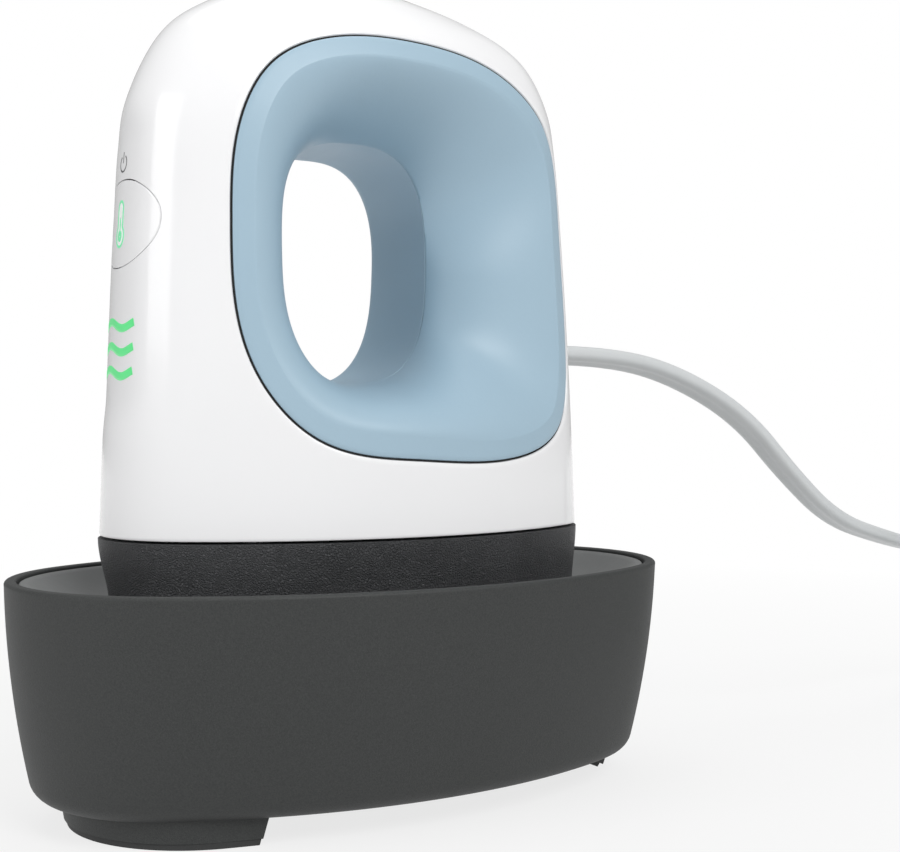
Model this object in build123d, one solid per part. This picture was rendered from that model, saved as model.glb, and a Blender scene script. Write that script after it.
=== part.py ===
from build123d import *
import math
import os

# Mini handheld heat press standing in its heat-proof stand.
# Millimetres. +Z is up, -X is the control nose, +X is the cord end. The stand rests on z = 0.

# ---- stand
stand_half_length = 57.8
stand_half_width = 37.0
stand_end_radius = 29.8
stand_height = 38.7
stand_base_half_length = 52.5
stand_base_half_width = 28.4
stand_base_end_radius = 21.4
stand_bulge = 0.7
stand_wall = 1.9
stand_floor = 3.0
stand_edge_round = 3.2
foot_height = 5.0
foot_pad_thickness = 1.0
foot_taper = 0.8
foot_edge_inset = 3.2
pad_inset = 0.2
front_foot_inner_x = -25.0
rear_foot_inner_x = 46.2
foot_face_slant = 1.2

# ---- tray inside the stand
tray_gap = 0.3
tray_drop = 0.5
tray_wall = 1.5
tray_lip = 1.0
tray_slope_depth = 4.2
well_gap = 2.2
well_floor_gap = 1.8
well_floor_z = 13.6
mat_thickness = 1.1
mat_gap = 0.3
mat_margin = 1.0
tray_screw_x = 30.0
tray_screw_y = 12.0
tray_post_radius = 3.0

# ---- heat plate and collar
press_x = -0.1
plate_half_length = 41.5
plate_half_width = 24.0
plate_end_radius = 17.6
plate_rim = 3.6
plate_step = 3.4
plate_step_inset = 3.4
collar_half_length = 43.2
collar_half_width = 25.2
collar_end_radius = 17.8
collar_top_z = 45.6
collar_wall = 2.0
collar_plate_gap = 0.5
collar_flange = 2.0
collar_window_half_length = 15.0
collar_window_half_width = 9.0
gasket_thickness = 0.6
gasket_inset = 0.7
gasket_width = 1.4

# ---- housing
housing_half_length = 43.0
housing_half_width = 25.0
housing_end_radius = 17.6
housing_height = 92.4
housing_wall = 2.2
# Each station: share of the height, how far the nose and the tail have drawn in as shares of the half
# length, half width as a share of the half width, end radius as a share of the width's half there.
housing_stations = [
    (0.000, 0.000, 0.000, 1.000, 0.705),
    (0.260, 0.019, 0.023, 0.970, 0.705),
    (0.530, 0.043, 0.060, 0.915, 0.710),
    (0.700, 0.070, 0.092, 0.850, 0.730),
    (0.775, 0.117, 0.119, 0.786, 0.740),
    (0.850, 0.195, 0.197, 0.686, 0.750),
    (0.892, 0.269, 0.290, 0.596, 0.750),
    (0.936, 0.415, 0.495, 0.458, 0.750),
    (0.968, 0.569, 0.737, 0.327, 0.740),
    (0.990, 0.718, 0.948, 0.186, 0.730),
    (0.999, 0.826, 1.066, 0.070, 0.720),
]

station_step = 0.09

# ---- grip: outline on the side of the housing, and the hand hole through the middle plane
grip_outline = [
    (-28.2, 95.0),
    (-26.4, 110.6),
    (-20.4, 120.4),
    (-10.5, 124.6),
    (3.7, 124.8),
    (22.0, 120.2),
    (33.0, 111.0),
    (35.9, 95.0),
    (36.7, 77.4),
    (33.4, 63.2),
    (20.0, 57.6),
    (0.0, 57.7),
    (-15.6, 61.2),
    (-24.2, 71.2),
]
hole_centre_x = -1.8
hole_centre_z = 90.3
hole_half_length = 14.3
hole_half_height = 20.2
grip_gap = 0.25
grip_band = 3.3
grip_wall = 2.0
grip_lip = 1.4
grip_lip_thickness = 1.4
grip_near_y = 9.0
seam_gap = 0.05
# The two halves meet off the middle plane, towards -y.
seam_y = 3.7
hole_squareness = 2.8
# The hole's rounded mouth: how far it reaches along the side, and how deep it is.
mouth_reach = 9.0
mouth_depth = 11.0
mouth_share = 0.9
hole_directions = 32
tunnel_sections = [0.0, 5.0, 8.0, 10.0, 12.0, 14.0, 16.0, 17.5, 19.0, 20.5, 22.0, 23.5, 25.0, 28.0]

# ---- controls on the nose
button_z = 94.9
button_half_width = 10.4
button_half_height = 6.85
button_gap = 0.25
button_depth = 3.0
button_tab = 1.3
button_tab_half_width = 6.0
button_travel = 0.6
symbol_half_height = 3.8
symbol_stem_radius = 0.95
symbol_bulb_radius = 1.45
inlay_gap = 0.05
wave_count = 3
wave_pitch = 3.8
wave_middle_z = 75.3
wave_half_width = 6.8
wave_height = 0.95
wave_length = 11.6
wave_thickness = 1.5
light_guide_margin = 0.4
light_guide_wall = 1.0
light_slot_half_height = 1.3

# ---- control board, in the nose
board_front_x = -32.6
board_thickness = 1.2
board_half_width = 8.5
board_bottom_z = 65.0
board_top_z = 105.0
carrier_thickness = 1.4
carrier_half_width = 13.0
carrier_overlap = 4.0
inner_gap = 0.3
switch_z = 89.6
switch_size = 6.0
switch_height = 3.5
plunger_radius = 1.6
plunger_gap = 0.05
plunger_length = 2.1
plunger_proud = 0.9
boss_radius = 1.5
boss_plunger_gap = 0.08
led_size = 1.6
led_half_width = 1.4
button_lamp_z = 97.0
board_screw_edge = 2.2
# Chips on the control board: height off the board, lowest y and z, highest y and z.
board_chips = [
    (1.2, -6.0, 82.4, -1.5, 85.5),
    (1.2, 1.5, 82.4, 4.0, 84.6),
    (1.2, -5.5, 98.6, 5.0, 100.6),
]
small_screw_radius = 1.0
small_head_radius = 1.9
small_head_height = 1.0

# ---- heater parts on the plate
element_radius = 2.5
element_half_spread = 9.0
element_front_x = -27.0
element_rear_x = 24.0
element_bend = 7.0
element_sink = 1.5
terminal_radius = 1.2
terminal_reach = 5.5
clamp_length = 8.0
clamp_thickness = 1.4
clamp_boss_radius = 3.2
terminal_rise = 4.5
standoff_radius = 3.5
standoff_end_x = 33.2
standoff_side_y = 16.6
screw_radius = 1.5
screw_gap = 0.1
screw_head_radius = 2.7
screw_head_height = 1.8
plate_screw_depth = 3.0
thermistor_radius = 1.5
thermistor_x = -13.0
fuse_radius = 2.0
fuse_x = 14.0
sensor_length = 7.0
insulation_z = 29.0
insulation_thickness = 2.5
shield_thickness = 0.6
ledge_width = 1.8
ledge_thickness = 1.5

# ---- power board, under the hand hole
board_post_height = 4.4
board_post_radius = 2.6
board_post_x = 24.0
board_post_y = 9.0
power_board_half_length = 30.6
power_board_half_width = 12.0
power_board_thickness = 1.6
# Relay and other blocks on the board: lowest x and y, highest x and y, height.
power_board_blocks = [
    (-19.0, -7.0, -5.0, 5.0, 7.0),
    (8.0, -8.0, 16.0, -2.0, 6.0),
    (8.0, 1.0, 14.0, 8.0, 5.0),
]
capacitor_radius = 2.5
capacitor_x = 2.0
capacitor_y = 4.5
capacitor_height = 7.0
terminal_block_x = 27.6
terminal_block_half_length = 3.0
terminal_block_half_width = 5.0
terminal_block_height = 5.5
housing_screw_x = 24.0
housing_screw_y = 15.2
housing_boss_radius = 2.9
housing_boss_height = 7.0

# ---- cord
cord_width = 5.5
cord_exit_x = 42.4
cord_exit_z = 75.7
relief_radius = 3.8
relief_tip_radius = 3.2
relief_flange_radius = 6.0
relief_tail_x = 32.5
relief_wall_gap = 1.6
relief_flange_thickness = 1.5
relief_proud = 0.4
lead_sleeve_wall = 0.4
clamp_gap = 0.4
clamp_screw_edge = 2.3
clamp_seat_half_width = 7.6
clamp_seat_depth = 4.6
clamp_bar_height = 2.4
lead_radius = 0.8
lead_bend = 3.0
lead_offset = 1.7
lead_hole_gap = 0.7
coil_centre_x = 170.0
coil_centre_y = -32.0
coil_middle_radius = 33.0
coil_lanes = 3.5
coil_layers = 2
tie_thickness = 0.6
tie_width = 8.0
tie_gap = 0.6
tie_angle = 200.0
plug_length = 28.0
plug_width = 24.0
plug_thickness = 14.0
plug_tail_width = 8.4
plug_tail_thickness = 7.6
plug_rear_x = 134.0
plug_side_step = 2.6
blade_length = 16.0
blade_width = 6.35
blade_thickness = 1.5
blade_spacing = 12.7

# ---- heights and places that follow from the sizes above
cord_radius = cord_width / 2
sleeve_radius = cord_radius + lead_sleeve_wall
housing_base_z = collar_top_z + gasket_thickness
rim_z = stand_height
tray_top_z = rim_z - tray_drop
mouth_z = tray_top_z - tray_slope_depth
mat_top_z = well_floor_z + mat_thickness
plate_bottom_z = mat_top_z + mat_gap
plate_rim_z = plate_bottom_z + plate_rim
plate_top_z = plate_rim_z + plate_step
collar_bottom_z = plate_rim_z + collar_plate_gap
element_z = plate_top_z + element_radius - element_sink
shield_z = insulation_z + insulation_thickness
flange_z = collar_top_z - collar_flange
power_board_z = collar_top_z + board_post_height
power_board_top_z = power_board_z + power_board_thickness
coil_base_z = tie_thickness
coil_low_z = coil_base_z + cord_radius
coil_high_z = coil_low_z + cord_width
coil_half_band = coil_lanes * cord_width / 2
coil_outer_radius = coil_middle_radius + coil_half_band
coil_side = coil_half_band + cord_radius

# The cord's route from the strain relief to where it joins the coil's lowest outer turn.
cord_route = [
    (cord_exit_x, 0.0, cord_exit_z),
    (55.0, 0.0, 75.7),
    (71.0, 0.3, 72.3),
    (88.0, 0.6, 64.2),
    (100.0, 0.6, 52.6),
    (112.0, 0.4, 42.8),
    (128.0, 2.0, 38.2),
    (153.6, 11.1, 33.5),
    (182.2, 11.4, 27.5),
    (206.0, -3.8, 20.5),
    (218.9, -28.5, 12.8),
    (214.3, -57.7, 6.6),
    (193.5, -74.6, 3.5),
    (coil_centre_x, coil_centre_y - coil_outer_radius, coil_low_z),
]
# From the coil's highest outer turn to the plug.
tail_route = [
    (coil_centre_x, coil_centre_y - coil_outer_radius, coil_high_z),
    (151.0, coil_centre_y - coil_outer_radius - 0.6, 8.5),
    (plug_rear_x, coil_centre_y - coil_outer_radius + plug_side_step, plug_thickness / 2),
]


# ---------------------------------------------------------------- shapes used by several pieces
def oval(half_length, half_width, end_radius, z=0.0, centre_x=0.0):
    """A flat oval of four arcs: two tight ends and two long sides, tangent where they meet."""
    end_x = half_length - end_radius
    side_radius = (end_x**2 + half_width**2 - end_radius**2) / (2 * (half_width - end_radius))
    rise = side_radius - half_width
    reach = math.hypot(end_x, rise)
    join_x = end_x * (1 + end_radius / reach)
    join_y = end_radius * rise / reach
    arcs = [
        ThreePointArc((join_x, -join_y), (half_length, 0), (join_x, join_y)),
        ThreePointArc((join_x, join_y), (0, half_width), (-join_x, join_y)),
        ThreePointArc((-join_x, join_y), (-half_length, 0), (-join_x, -join_y)),
        ThreePointArc((-join_x, -join_y), (0, -half_width), (join_x, -join_y)),
    ]
    return Pos(centre_x, 0, z) * make_face(arcs)


def oval_slab(half_length, half_width, end_radius, low_z, high_z, centre_x=0.0):
    return extrude(oval(half_length, half_width, end_radius, low_z, centre_x), high_z - low_z)


def box_between(low, high):
    """A box given by its lowest and highest corner."""
    size = [b - a for a, b in zip(low, high)]
    middle = [(a + b) / 2 for a, b in zip(low, high)]
    return Pos(*middle) * Box(*size)


def rod_z(radius, x, y, low_z, high_z):
    return Pos(x, y, (low_z + high_z) / 2) * Cylinder(radius, high_z - low_z)


def rod_x(radius, y, z, low_x, high_x):
    return Pos((low_x + high_x) / 2, y, z) * Rot(0, 90, 0) * Cylinder(radius, high_x - low_x)


def screw_up(radius, head_radius, head_height, x, y, seat_z, tip_z):
    """A screw whose head bears on seat_z from below or above and whose tip reaches tip_z."""
    away = -head_height if tip_z > seat_z else head_height
    head = rod_z(head_radius, x, y, min(seat_z, seat_z + away), max(seat_z, seat_z + away))
    return head + rod_z(radius, x, y, min(seat_z, tip_z), max(seat_z, tip_z))


def group(solids):
    """Separate solids kept side by side in one piece."""
    return Compound(children=[s for item in solids for s in item.solids()])


def even_stations():
    """The housing's stations with straight steps between those that stand far apart."""
    stations = [housing_stations[0]]
    for low, high in zip(housing_stations, housing_stations[1:]):
        steps = max(1, round((high[0] - low[0]) / station_step))
        for i in range(1, steps + 1):
            stations.append(tuple(a + (b - a) * i / steps for a, b in zip(low, high)))
    return stations


def housing_body(inset):
    """The housing's outer form, drawn in by inset on its sides and top."""
    half_length = housing_half_length - inset
    half_width = housing_half_width - inset
    height = housing_height - inset
    sections = []
    for share, nose, tail, width, end in even_stations():
        front = -half_length * (1 - nose)
        rear = half_length * (1 - tail)
        side = half_width * width
        sections.append(
            oval(
                (rear - front) / 2,
                side,
                side * end,
                housing_base_z + share * height,
                press_x + (front + rear) / 2,
            )
        )
    return loft(sections)


def outline_points(grow):
    """The grip's outline moved outwards by grow, square to itself."""
    points = []
    count = len(grip_outline)
    for i, (x, z) in enumerate(grip_outline):
        before = grip_outline[i - 1]
        after = grip_outline[(i + 1) % count]
        along = Vector(after[0] - before[0], after[1] - before[1]).normalized()
        points.append((x - grow * along.Y, z + grow * along.X))
    return points


def hole_point(x, z, grow):
    """The point of the hand hole's rounded outline that faces the outline point x, z."""
    angle = math.atan2(z - hole_centre_z, x - hole_centre_x)
    half_x = hole_half_length + grow
    half_z = hole_half_height + grow
    across = abs(math.cos(angle) / half_x) ** hole_squareness
    up = abs(math.sin(angle) / half_z) ** hole_squareness
    reach = (across + up) ** (-1 / hole_squareness)
    return hole_centre_x + reach * math.cos(angle), hole_centre_z + reach * math.sin(angle)


def station_at(z):
    """The housing's station values at a height, between the two stations next to it."""
    share = (z - housing_base_z) / housing_height
    for low, high in zip(housing_stations, housing_stations[1:]):
        if share <= high[0]:
            break
    t = (share - low[0]) / (high[0] - low[0])
    return [a + t * (b - a) for a, b in zip(low[1:], high[1:])]


def side_at(x, z):
    """Half width of the housing at a point of its side view."""
    nose, tail, width, end = station_at(z)
    front = press_x - housing_half_length * (1 - nose)
    rear = press_x + housing_half_length * (1 - tail)
    side = housing_half_width * width
    half_length = (rear - front) / 2
    end_radius = side * end
    end_x = half_length - end_radius
    side_radius = (end_x**2 + side**2 - end_radius**2) / (2 * (side - end_radius))
    along = abs(x - (front + rear) / 2)
    join_x = end_x * (1 + end_radius / math.hypot(end_x, side_radius - side))
    if along <= join_x:
        return math.sqrt(side_radius**2 - along**2) - (side_radius - side)
    return math.sqrt(max(end_radius**2 - (along - end_x) ** 2, 1.0))


def smooth_loop(points, y):
    """A closed smooth face through side-view points, standing at y."""
    return make_face(Spline([(x, y, z) for x, z in points], periodic=True))


def tunnel(grow, shift):
    """The hand hole from y = 0 out past the -y side, its mouth rounded, moved outwards by grow and shift."""
    around = Spline([(x, 0, z) for x, z in grip_outline], periodic=True)
    edge_points = [around @ (i / hole_directions) for i in range(hole_directions)]
    sections = []
    for depth in tunnel_sections:
        loop = []
        for point in edge_points:
            hole_x, hole_z = hole_point(point.X, point.Z, 0.0)
            reach = math.hypot(point.X - hole_x, point.Z - hole_z)
            out_x = (point.X - hole_x) / reach
            out_z = (point.Z - hole_z) / reach
            mouth = min(mouth_reach, (reach - grip_band) * mouth_share)
            outer = side_at(hole_x + out_x * mouth, hole_z + out_z * mouth)
            deep = depth + shift
            turned = min(max((deep - outer + mouth_depth) / mouth_depth, 0.0), 1.0)
            opened = mouth * (1 - math.sqrt(1 - turned**2)) + max(deep - outer, 0.0) + grow
            loop.append((hole_x + out_x * opened, hole_z + out_z * opened))
        sections.append(smooth_loop(loop, -depth))
    return loft(sections, ruled=True)


def side_prism(grow, near_y):
    """The grip's outline as a block that reaches from near_y off the middle plane out past the -y side."""
    face = smooth_loop(outline_points(grow), -near_y)
    return extrude(face, tunnel_sections[-1], dir=(0, -1, 0))


def through_nose(face):
    """A face drawn on the nose as a block that reaches from in front of the nose to the board."""
    block = extrude(Pos(press_x - housing_half_length, 0, 0) * face, housing_end_radius, dir=(1, 0, 0))
    return block & nose_zone


def nose_prism(half_width, half_height, z):
    return through_nose(Plane.YZ * (Pos(0, z) * Ellipse(half_width, half_height)))


def wave_prism(z, grow):
    """One heat wave on the nose: a ribbon that follows one rise and one fall."""
    steps = 12
    half = wave_half_width + grow
    rib = wave_thickness / 2 + grow
    middle = [
        (y, z + wave_height * math.sin(2 * math.pi * y / wave_length))
        for y in [half * (2 * i / steps - 1) for i in range(steps + 1)]
    ]
    upper = Spline([(y, h + rib) for y, h in middle])
    lower = Spline([(y, h - rib) for y, h in middle])
    ends = [Line(upper @ 0, lower @ 0), Line(upper @ 1, lower @ 1)]
    return through_nose(Plane.YZ * make_face([upper, lower, *ends]))


def thermometer_prism(grow):
    """The thermometer in the button: a round-ended stem on a bulb."""
    bulb_z = button_z - symbol_half_height + symbol_bulb_radius
    top_z = button_z + symbol_half_height - symbol_stem_radius
    stem = Pos(0, (bulb_z + top_z) / 2) * Rectangle(2 * (symbol_stem_radius + grow), top_z - bulb_z)
    face = stem + Pos(0, top_z) * Circle(symbol_stem_radius + grow)
    face += Pos(0, bulb_z) * Circle(symbol_bulb_radius + grow)
    return through_nose(Plane.YZ * face)


def route_radii(points):
    """The largest arc that each corner's two runs allow, and its radius printed."""
    radii = []
    for a, b, c in zip(points, points[1:], points[2:]):
        run_in = Vector(*b) - Vector(*a)
        run_out = Vector(*c) - Vector(*b)
        turn = math.radians(run_in.get_angle(run_out))
        radii.append(0.45 * min(run_in.length, run_out.length) / math.tan(turn / 2))
    return radii


def cord_tube(name, points, radius):
    """A round tube along straight runs joined by tangent arcs."""
    radii = route_radii(points)
    path = FilletPolyline(*points, radius=radii)
    start = Plane(origin=path @ 0, z_dir=path % 0)
    tube = sweep(start * Circle(radius), path=path)
    expected = math.pi * radius**2 * path.length
    print(name, "radii", [round(r, 1) for r in radii], "length", round(path.length, 1))
    print(name, "volume over section times length", round(tube.volume / expected, 4))
    return tube, path.length


pieces = {}
nose_front_x = press_x - housing_half_length - 1
nose_zone = box_between(
    (nose_front_x, -housing_half_width, housing_base_z),
    (board_front_x, housing_half_width, housing_base_z + housing_height),
)

# ---------------------------------------------------------------- stand
def shell_oval(z, inset, bulge_share):
    """The shell's oval at a height, drawn in by inset; the wall swells out a little at mid height."""
    share = (z - foot_height) / (rim_z - foot_height)
    out = stand_bulge * bulge_share - inset
    return oval(
        stand_base_half_length + share * (stand_half_length - stand_base_half_length) + out,
        stand_base_half_width + share * (stand_half_width - stand_base_half_width) + out,
        stand_base_end_radius + share * (stand_end_radius - stand_base_end_radius) + out,
        z,
    )


def swell(z):
    """Share of the bulge at a height: none at the foot and the rim, all of it half way."""
    share = (z - foot_height) / (rim_z - foot_height)
    return 4 * share * (1 - share)


def shell_wall(low_z, high_z, inset):
    heights = [low_z + (high_z - low_z) * i / 4 for i in range(5)]
    return loft([shell_oval(z, inset, swell(z)) for z in heights])


round_top_z = foot_height + stand_edge_round
shell_outer = shell_wall(round_top_z, rim_z, 0.0)
round_angles = [math.radians(a) for a in (0, 25, 50, 72, 90)]
shell_outer += loft(
    [
        shell_oval(
            foot_height + stand_edge_round * (1 - math.cos(a)),
            stand_edge_round * (1 - math.sin(a)),
            swell(foot_height + stand_edge_round * (1 - math.cos(a))),
        )
        for a in round_angles
    ]
)
cavity_floor_z = foot_height + stand_floor
shell_cavity = shell_wall(cavity_floor_z, rim_z, stand_wall)
stand_shell = shell_outer - shell_cavity

tray_rim_inset = stand_wall + tray_gap
mouth_half_length = collar_half_length + well_gap
mouth_half_width = collar_half_width + well_gap
mouth_end_radius = collar_end_radius + well_gap
well_half_length = plate_half_length + well_floor_gap
well_half_width = plate_half_width + well_floor_gap
well_end_radius = plate_end_radius + well_floor_gap
tray_bottom_z = well_floor_z - tray_wall
funnel_block = loft(
    [
        oval(
            stand_half_length - tray_rim_inset - tray_drop / 4,
            stand_half_width - tray_rim_inset - tray_drop / 4,
            stand_end_radius - tray_rim_inset - tray_drop / 4,
            tray_top_z,
        ),
        oval(
            mouth_half_length + tray_wall,
            mouth_half_width + tray_wall,
            mouth_end_radius + tray_wall,
            mouth_z - tray_wall,
            press_x,
        ),
    ]
)
well_block = loft(
    [
        oval(
            mouth_half_length + tray_wall,
            mouth_half_width + tray_wall,
            mouth_end_radius + tray_wall,
            mouth_z - tray_wall,
            press_x,
        ),
        oval(
            well_half_length + tray_wall,
            well_half_width + tray_wall,
            well_end_radius + tray_wall,
            tray_bottom_z,
            press_x,
        ),
    ]
)
funnel_hollow = loft(
    [
        oval(
            stand_half_length - tray_rim_inset - tray_lip,
            stand_half_width - tray_rim_inset - tray_lip,
            stand_end_radius - tray_rim_inset - tray_lip,
            tray_top_z,
        ),
        oval(mouth_half_length, mouth_half_width, mouth_end_radius, mouth_z, press_x),
    ]
)
well_hollow = loft(
    [
        oval(mouth_half_length, mouth_half_width, mouth_end_radius, mouth_z, press_x),
        oval(well_half_length, well_half_width, well_end_radius, well_floor_z, press_x),
    ]
)
tray_screw_places = [
    (press_x + side_x * tray_screw_x, side_y * tray_screw_y) for side_x in (-1, 1) for side_y in (-1, 1)
]
stand_liner = funnel_block + well_block
for x, y in tray_screw_places:
    stand_liner += rod_z(tray_post_radius, x, y, cavity_floor_z, tray_bottom_z + tray_wall / 2)
stand_liner -= funnel_hollow + well_hollow

stand_screws = []
screw_seat_z = foot_height + screw_head_height
screw_tip_z = well_floor_z - tray_wall / 2
for x, y in tray_screw_places:
    stand_shell -= rod_z(screw_radius + screw_gap, x, y, foot_height - 1, cavity_floor_z + 1)
    stand_shell -= rod_z(screw_head_radius + screw_gap, x, y, foot_height - 1, screw_seat_z)
    stand_liner -= rod_z(screw_radius + screw_gap / 2, x, y, cavity_floor_z - 1, screw_tip_z)
    stand_screws.append(
        screw_up(screw_radius, screw_head_radius, screw_head_height, x, y, screw_seat_z, screw_tip_z)
    )

rest_mat = oval_slab(
    well_half_length - mat_margin,
    well_half_width - mat_margin,
    well_end_radius - mat_margin,
    well_floor_z,
    mat_top_z,
    press_x,
)


def foot_block(low_z, high_z, inset):
    """The tapering oval under the stand that the two feet are cut from."""
    top = foot_edge_inset + inset
    bottom = top + foot_taper * (high_z - low_z) / foot_height
    return loft(
        [
            oval(
                stand_base_half_length - inward,
                stand_base_half_width - inward,
                stand_base_end_radius,
                z,
            )
            for inward, z in ((bottom, low_z), (top, high_z))
        ]
    )


def end_cutter(x, towards, inset):
    """Everything on one side of a slanted face at x, so that one foot is left."""
    reach = stand_base_half_length * 2
    edge = x - towards * inset
    corners = [
        (edge - towards * foot_face_slant / 2, 0),
        (edge + towards * foot_face_slant / 2, foot_height),
        (edge - towards * reach, foot_height),
        (edge - towards * reach, 0),
    ]
    face = Plane.XZ * make_face(Polyline(*corners, close=True))
    return extrude(face, stand_base_half_width, both=True)


for name, x, towards in (("front_foot", front_foot_inner_x, 1), ("rear_foot", rear_foot_inner_x, -1)):
    upper = foot_block(foot_pad_thickness, foot_height, 0.0)
    lower = foot_block(0.0, foot_pad_thickness, foot_taper + pad_inset)
    pieces[name] = upper & end_cutter(x, towards, 0.0)
    pieces[name + "_pad"] = lower & end_cutter(x, towards, pad_inset)

pieces["stand_shell"] = stand_shell
pieces["stand_liner"] = stand_liner
pieces["stand_screws"] = group(stand_screws)
pieces["rest_mat"] = rest_mat

# ---------------------------------------------------------------- heat plate and what is on it
standoff_places = [
    (press_x - standoff_end_x, 0.0),
    (press_x + standoff_end_x, 0.0),
    (press_x, -standoff_side_y),
    (press_x, standoff_side_y),
]
heat_plate = oval_slab(
    plate_half_length, plate_half_width, plate_end_radius, plate_bottom_z, plate_rim_z, press_x
)
heat_plate = chamfer(heat_plate.faces().sort_by(Axis.Z)[0].edges(), 0.5)
heat_plate += oval_slab(
    plate_half_length - plate_step_inset,
    plate_half_width - plate_step_inset,
    plate_end_radius - plate_step_inset,
    plate_rim_z,
    plate_top_z,
    press_x,
)
element_points = [
    (press_x + element_rear_x, -element_half_spread, element_z),
    (press_x + element_front_x, -element_half_spread, element_z),
    (press_x + element_front_x, element_half_spread, element_z),
    (press_x + element_rear_x, element_half_spread, element_z),
]
element_path = FilletPolyline(*element_points, radius=element_bend)
element_start = Plane(origin=element_path @ 0, z_dir=element_path % 0)
heating_element = sweep(element_start * Circle(element_radius), path=element_path)
groove = sweep(element_start * Circle(element_radius + inlay_gap), path=element_path)
groove += rod_x(
    element_radius + inlay_gap,
    -element_half_spread,
    element_z,
    press_x + element_rear_x - 1,
    press_x + element_rear_x + inlay_gap,
)
groove += rod_x(
    element_radius + inlay_gap,
    element_half_spread,
    element_z,
    press_x + element_rear_x - 1,
    press_x + element_rear_x + inlay_gap,
)
heat_plate -= groove
clamp_z = element_z + element_radius + inlay_gap
heat_plate += rod_z(clamp_boss_radius, press_x, 0, plate_top_z, clamp_z)
heat_plate -= rod_z(screw_radius + screw_gap / 2, press_x, 0, plate_top_z, clamp_z)
for x, y in standoff_places:
    heat_plate -= rod_z(screw_radius + screw_gap / 2, x, y, plate_top_z - plate_screw_depth, plate_top_z)
element_clamp = Pos(press_x, 0, clamp_z + clamp_thickness / 2) * Box(
    clamp_length, 2 * (element_half_spread + element_radius), clamp_thickness
)
element_clamp -= rod_z(screw_radius + screw_gap, press_x, 0, clamp_z - 1, clamp_z + clamp_thickness + 1)
clamp_screw = screw_up(
    screw_radius,
    screw_head_radius,
    screw_head_height,
    press_x,
    0,
    clamp_z + clamp_thickness,
    plate_top_z + 0.2,
)

terminal_top_z = element_z + terminal_rise
terminals = []
heater_leads = []
lead_x = press_x + element_rear_x + terminal_reach
for y in (-element_half_spread, element_half_spread):
    pin = rod_x(terminal_radius, y, element_z, press_x + element_rear_x, lead_x)
    heat_plate -= rod_x(
        terminal_radius + 2 * screw_gap, y, element_z, press_x + element_rear_x, lead_x + 2 * terminal_radius
    )
    riser = rod_z(terminal_radius, lead_x, y, element_z, terminal_top_z)
    terminals.append(pin + riser + Pos(lead_x, y, element_z) * Sphere(terminal_radius))
    heater_leads.append(rod_z(lead_radius, lead_x, y, terminal_top_z, power_board_z))

thermistor = rod_x(
    thermistor_radius,
    0,
    plate_top_z + thermistor_radius + inlay_gap,
    press_x + thermistor_x - sensor_length / 2,
    press_x + thermistor_x + sensor_length / 2,
)
thermal_fuse = rod_x(
    fuse_radius,
    0,
    plate_top_z + fuse_radius + inlay_gap,
    press_x + fuse_x - sensor_length / 2 - 1,
    press_x + fuse_x + sensor_length / 2 + 1,
)
sensor_clips = []
for x, radius in ((thermistor_x, thermistor_radius), (fuse_x, fuse_radius)):
    top = plate_top_z + 2 * radius + 1.0
    saddle = box_between(
        (press_x + x - 2, -radius - 1.2, plate_top_z), (press_x + x + 2, radius + 1.2, top)
    )
    centre_z = plate_top_z + radius + inlay_gap
    saddle -= rod_x(radius + inlay_gap, 0, centre_z, press_x + x - 3, press_x + x + 3)
    saddle -= box_between(
        (press_x + x - 3, -radius - inlay_gap, plate_top_z - 1),
        (press_x + x + 3, radius + inlay_gap, centre_z),
    )
    sensor_clips.append(saddle)

pieces["heat_plate"] = heat_plate
pieces["heating_element"] = heating_element
pieces["element_clamp"] = element_clamp
pieces["clamp_screw"] = clamp_screw
pieces["element_terminals"] = group(terminals)
pieces["thermistor"] = thermistor
pieces["thermal_fuse"] = thermal_fuse
pieces["sensor_clips"] = group(sensor_clips)


# ---------------------------------------------------------------- collar
def collar_oval(z, inset):
    """The collar's oval at a height: the plate's size at its foot, the housing's at its top."""
    share = (z - plate_rim_z) / (collar_top_z - plate_rim_z)
    return oval(
        plate_half_length + share * (collar_half_length - plate_half_length) - inset,
        plate_half_width + share * (collar_half_width - plate_half_width) - inset,
        plate_end_radius + share * (collar_end_radius - plate_end_radius) - inset,
        z,
        press_x,
    )


collar = loft([collar_oval(collar_bottom_z, 0), collar_oval(collar_top_z, 0)])
collar -= loft([collar_oval(collar_bottom_z, collar_wall), collar_oval(flange_z, collar_wall)])
ledge = extrude(collar_oval(insulation_z - ledge_thickness, collar_wall - inlay_gap), ledge_thickness)
ledge -= extrude(
    collar_oval(insulation_z - ledge_thickness, collar_wall + ledge_width), ledge_thickness
)
collar += ledge & loft([collar_oval(collar_bottom_z, 0.5), collar_oval(collar_top_z, 0.5)])
window = oval_slab(
    collar_window_half_length,
    collar_window_half_width,
    collar_window_half_width * 0.7,
    flange_z - 1,
    collar_top_z + 1,
    press_x,
)
collar -= window
board_post_places = [
    (press_x + side_x * board_post_x, side_y * board_post_y) for side_x in (-1, 1) for side_y in (-1, 1)
]
housing_screw_places = [
    (press_x + side_x * housing_screw_x, side_y * housing_screw_y)
    for side_x in (-1, 1)
    for side_y in (-1, 1)
]
for x, y in board_post_places:
    collar += rod_z(board_post_radius, x, y, collar_top_z, power_board_z)
    collar -= rod_z(small_screw_radius + screw_gap / 2, x, y, collar_top_z, power_board_z)
for x, y in standoff_places + housing_screw_places:
    collar -= rod_z(screw_radius + screw_gap, x, y, flange_z - 1, collar_top_z + 1)
for y in (-element_half_spread, element_half_spread):
    collar -= rod_z(lead_radius + lead_hole_gap, lead_x, y, flange_z - 1, collar_top_z + 1)

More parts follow.
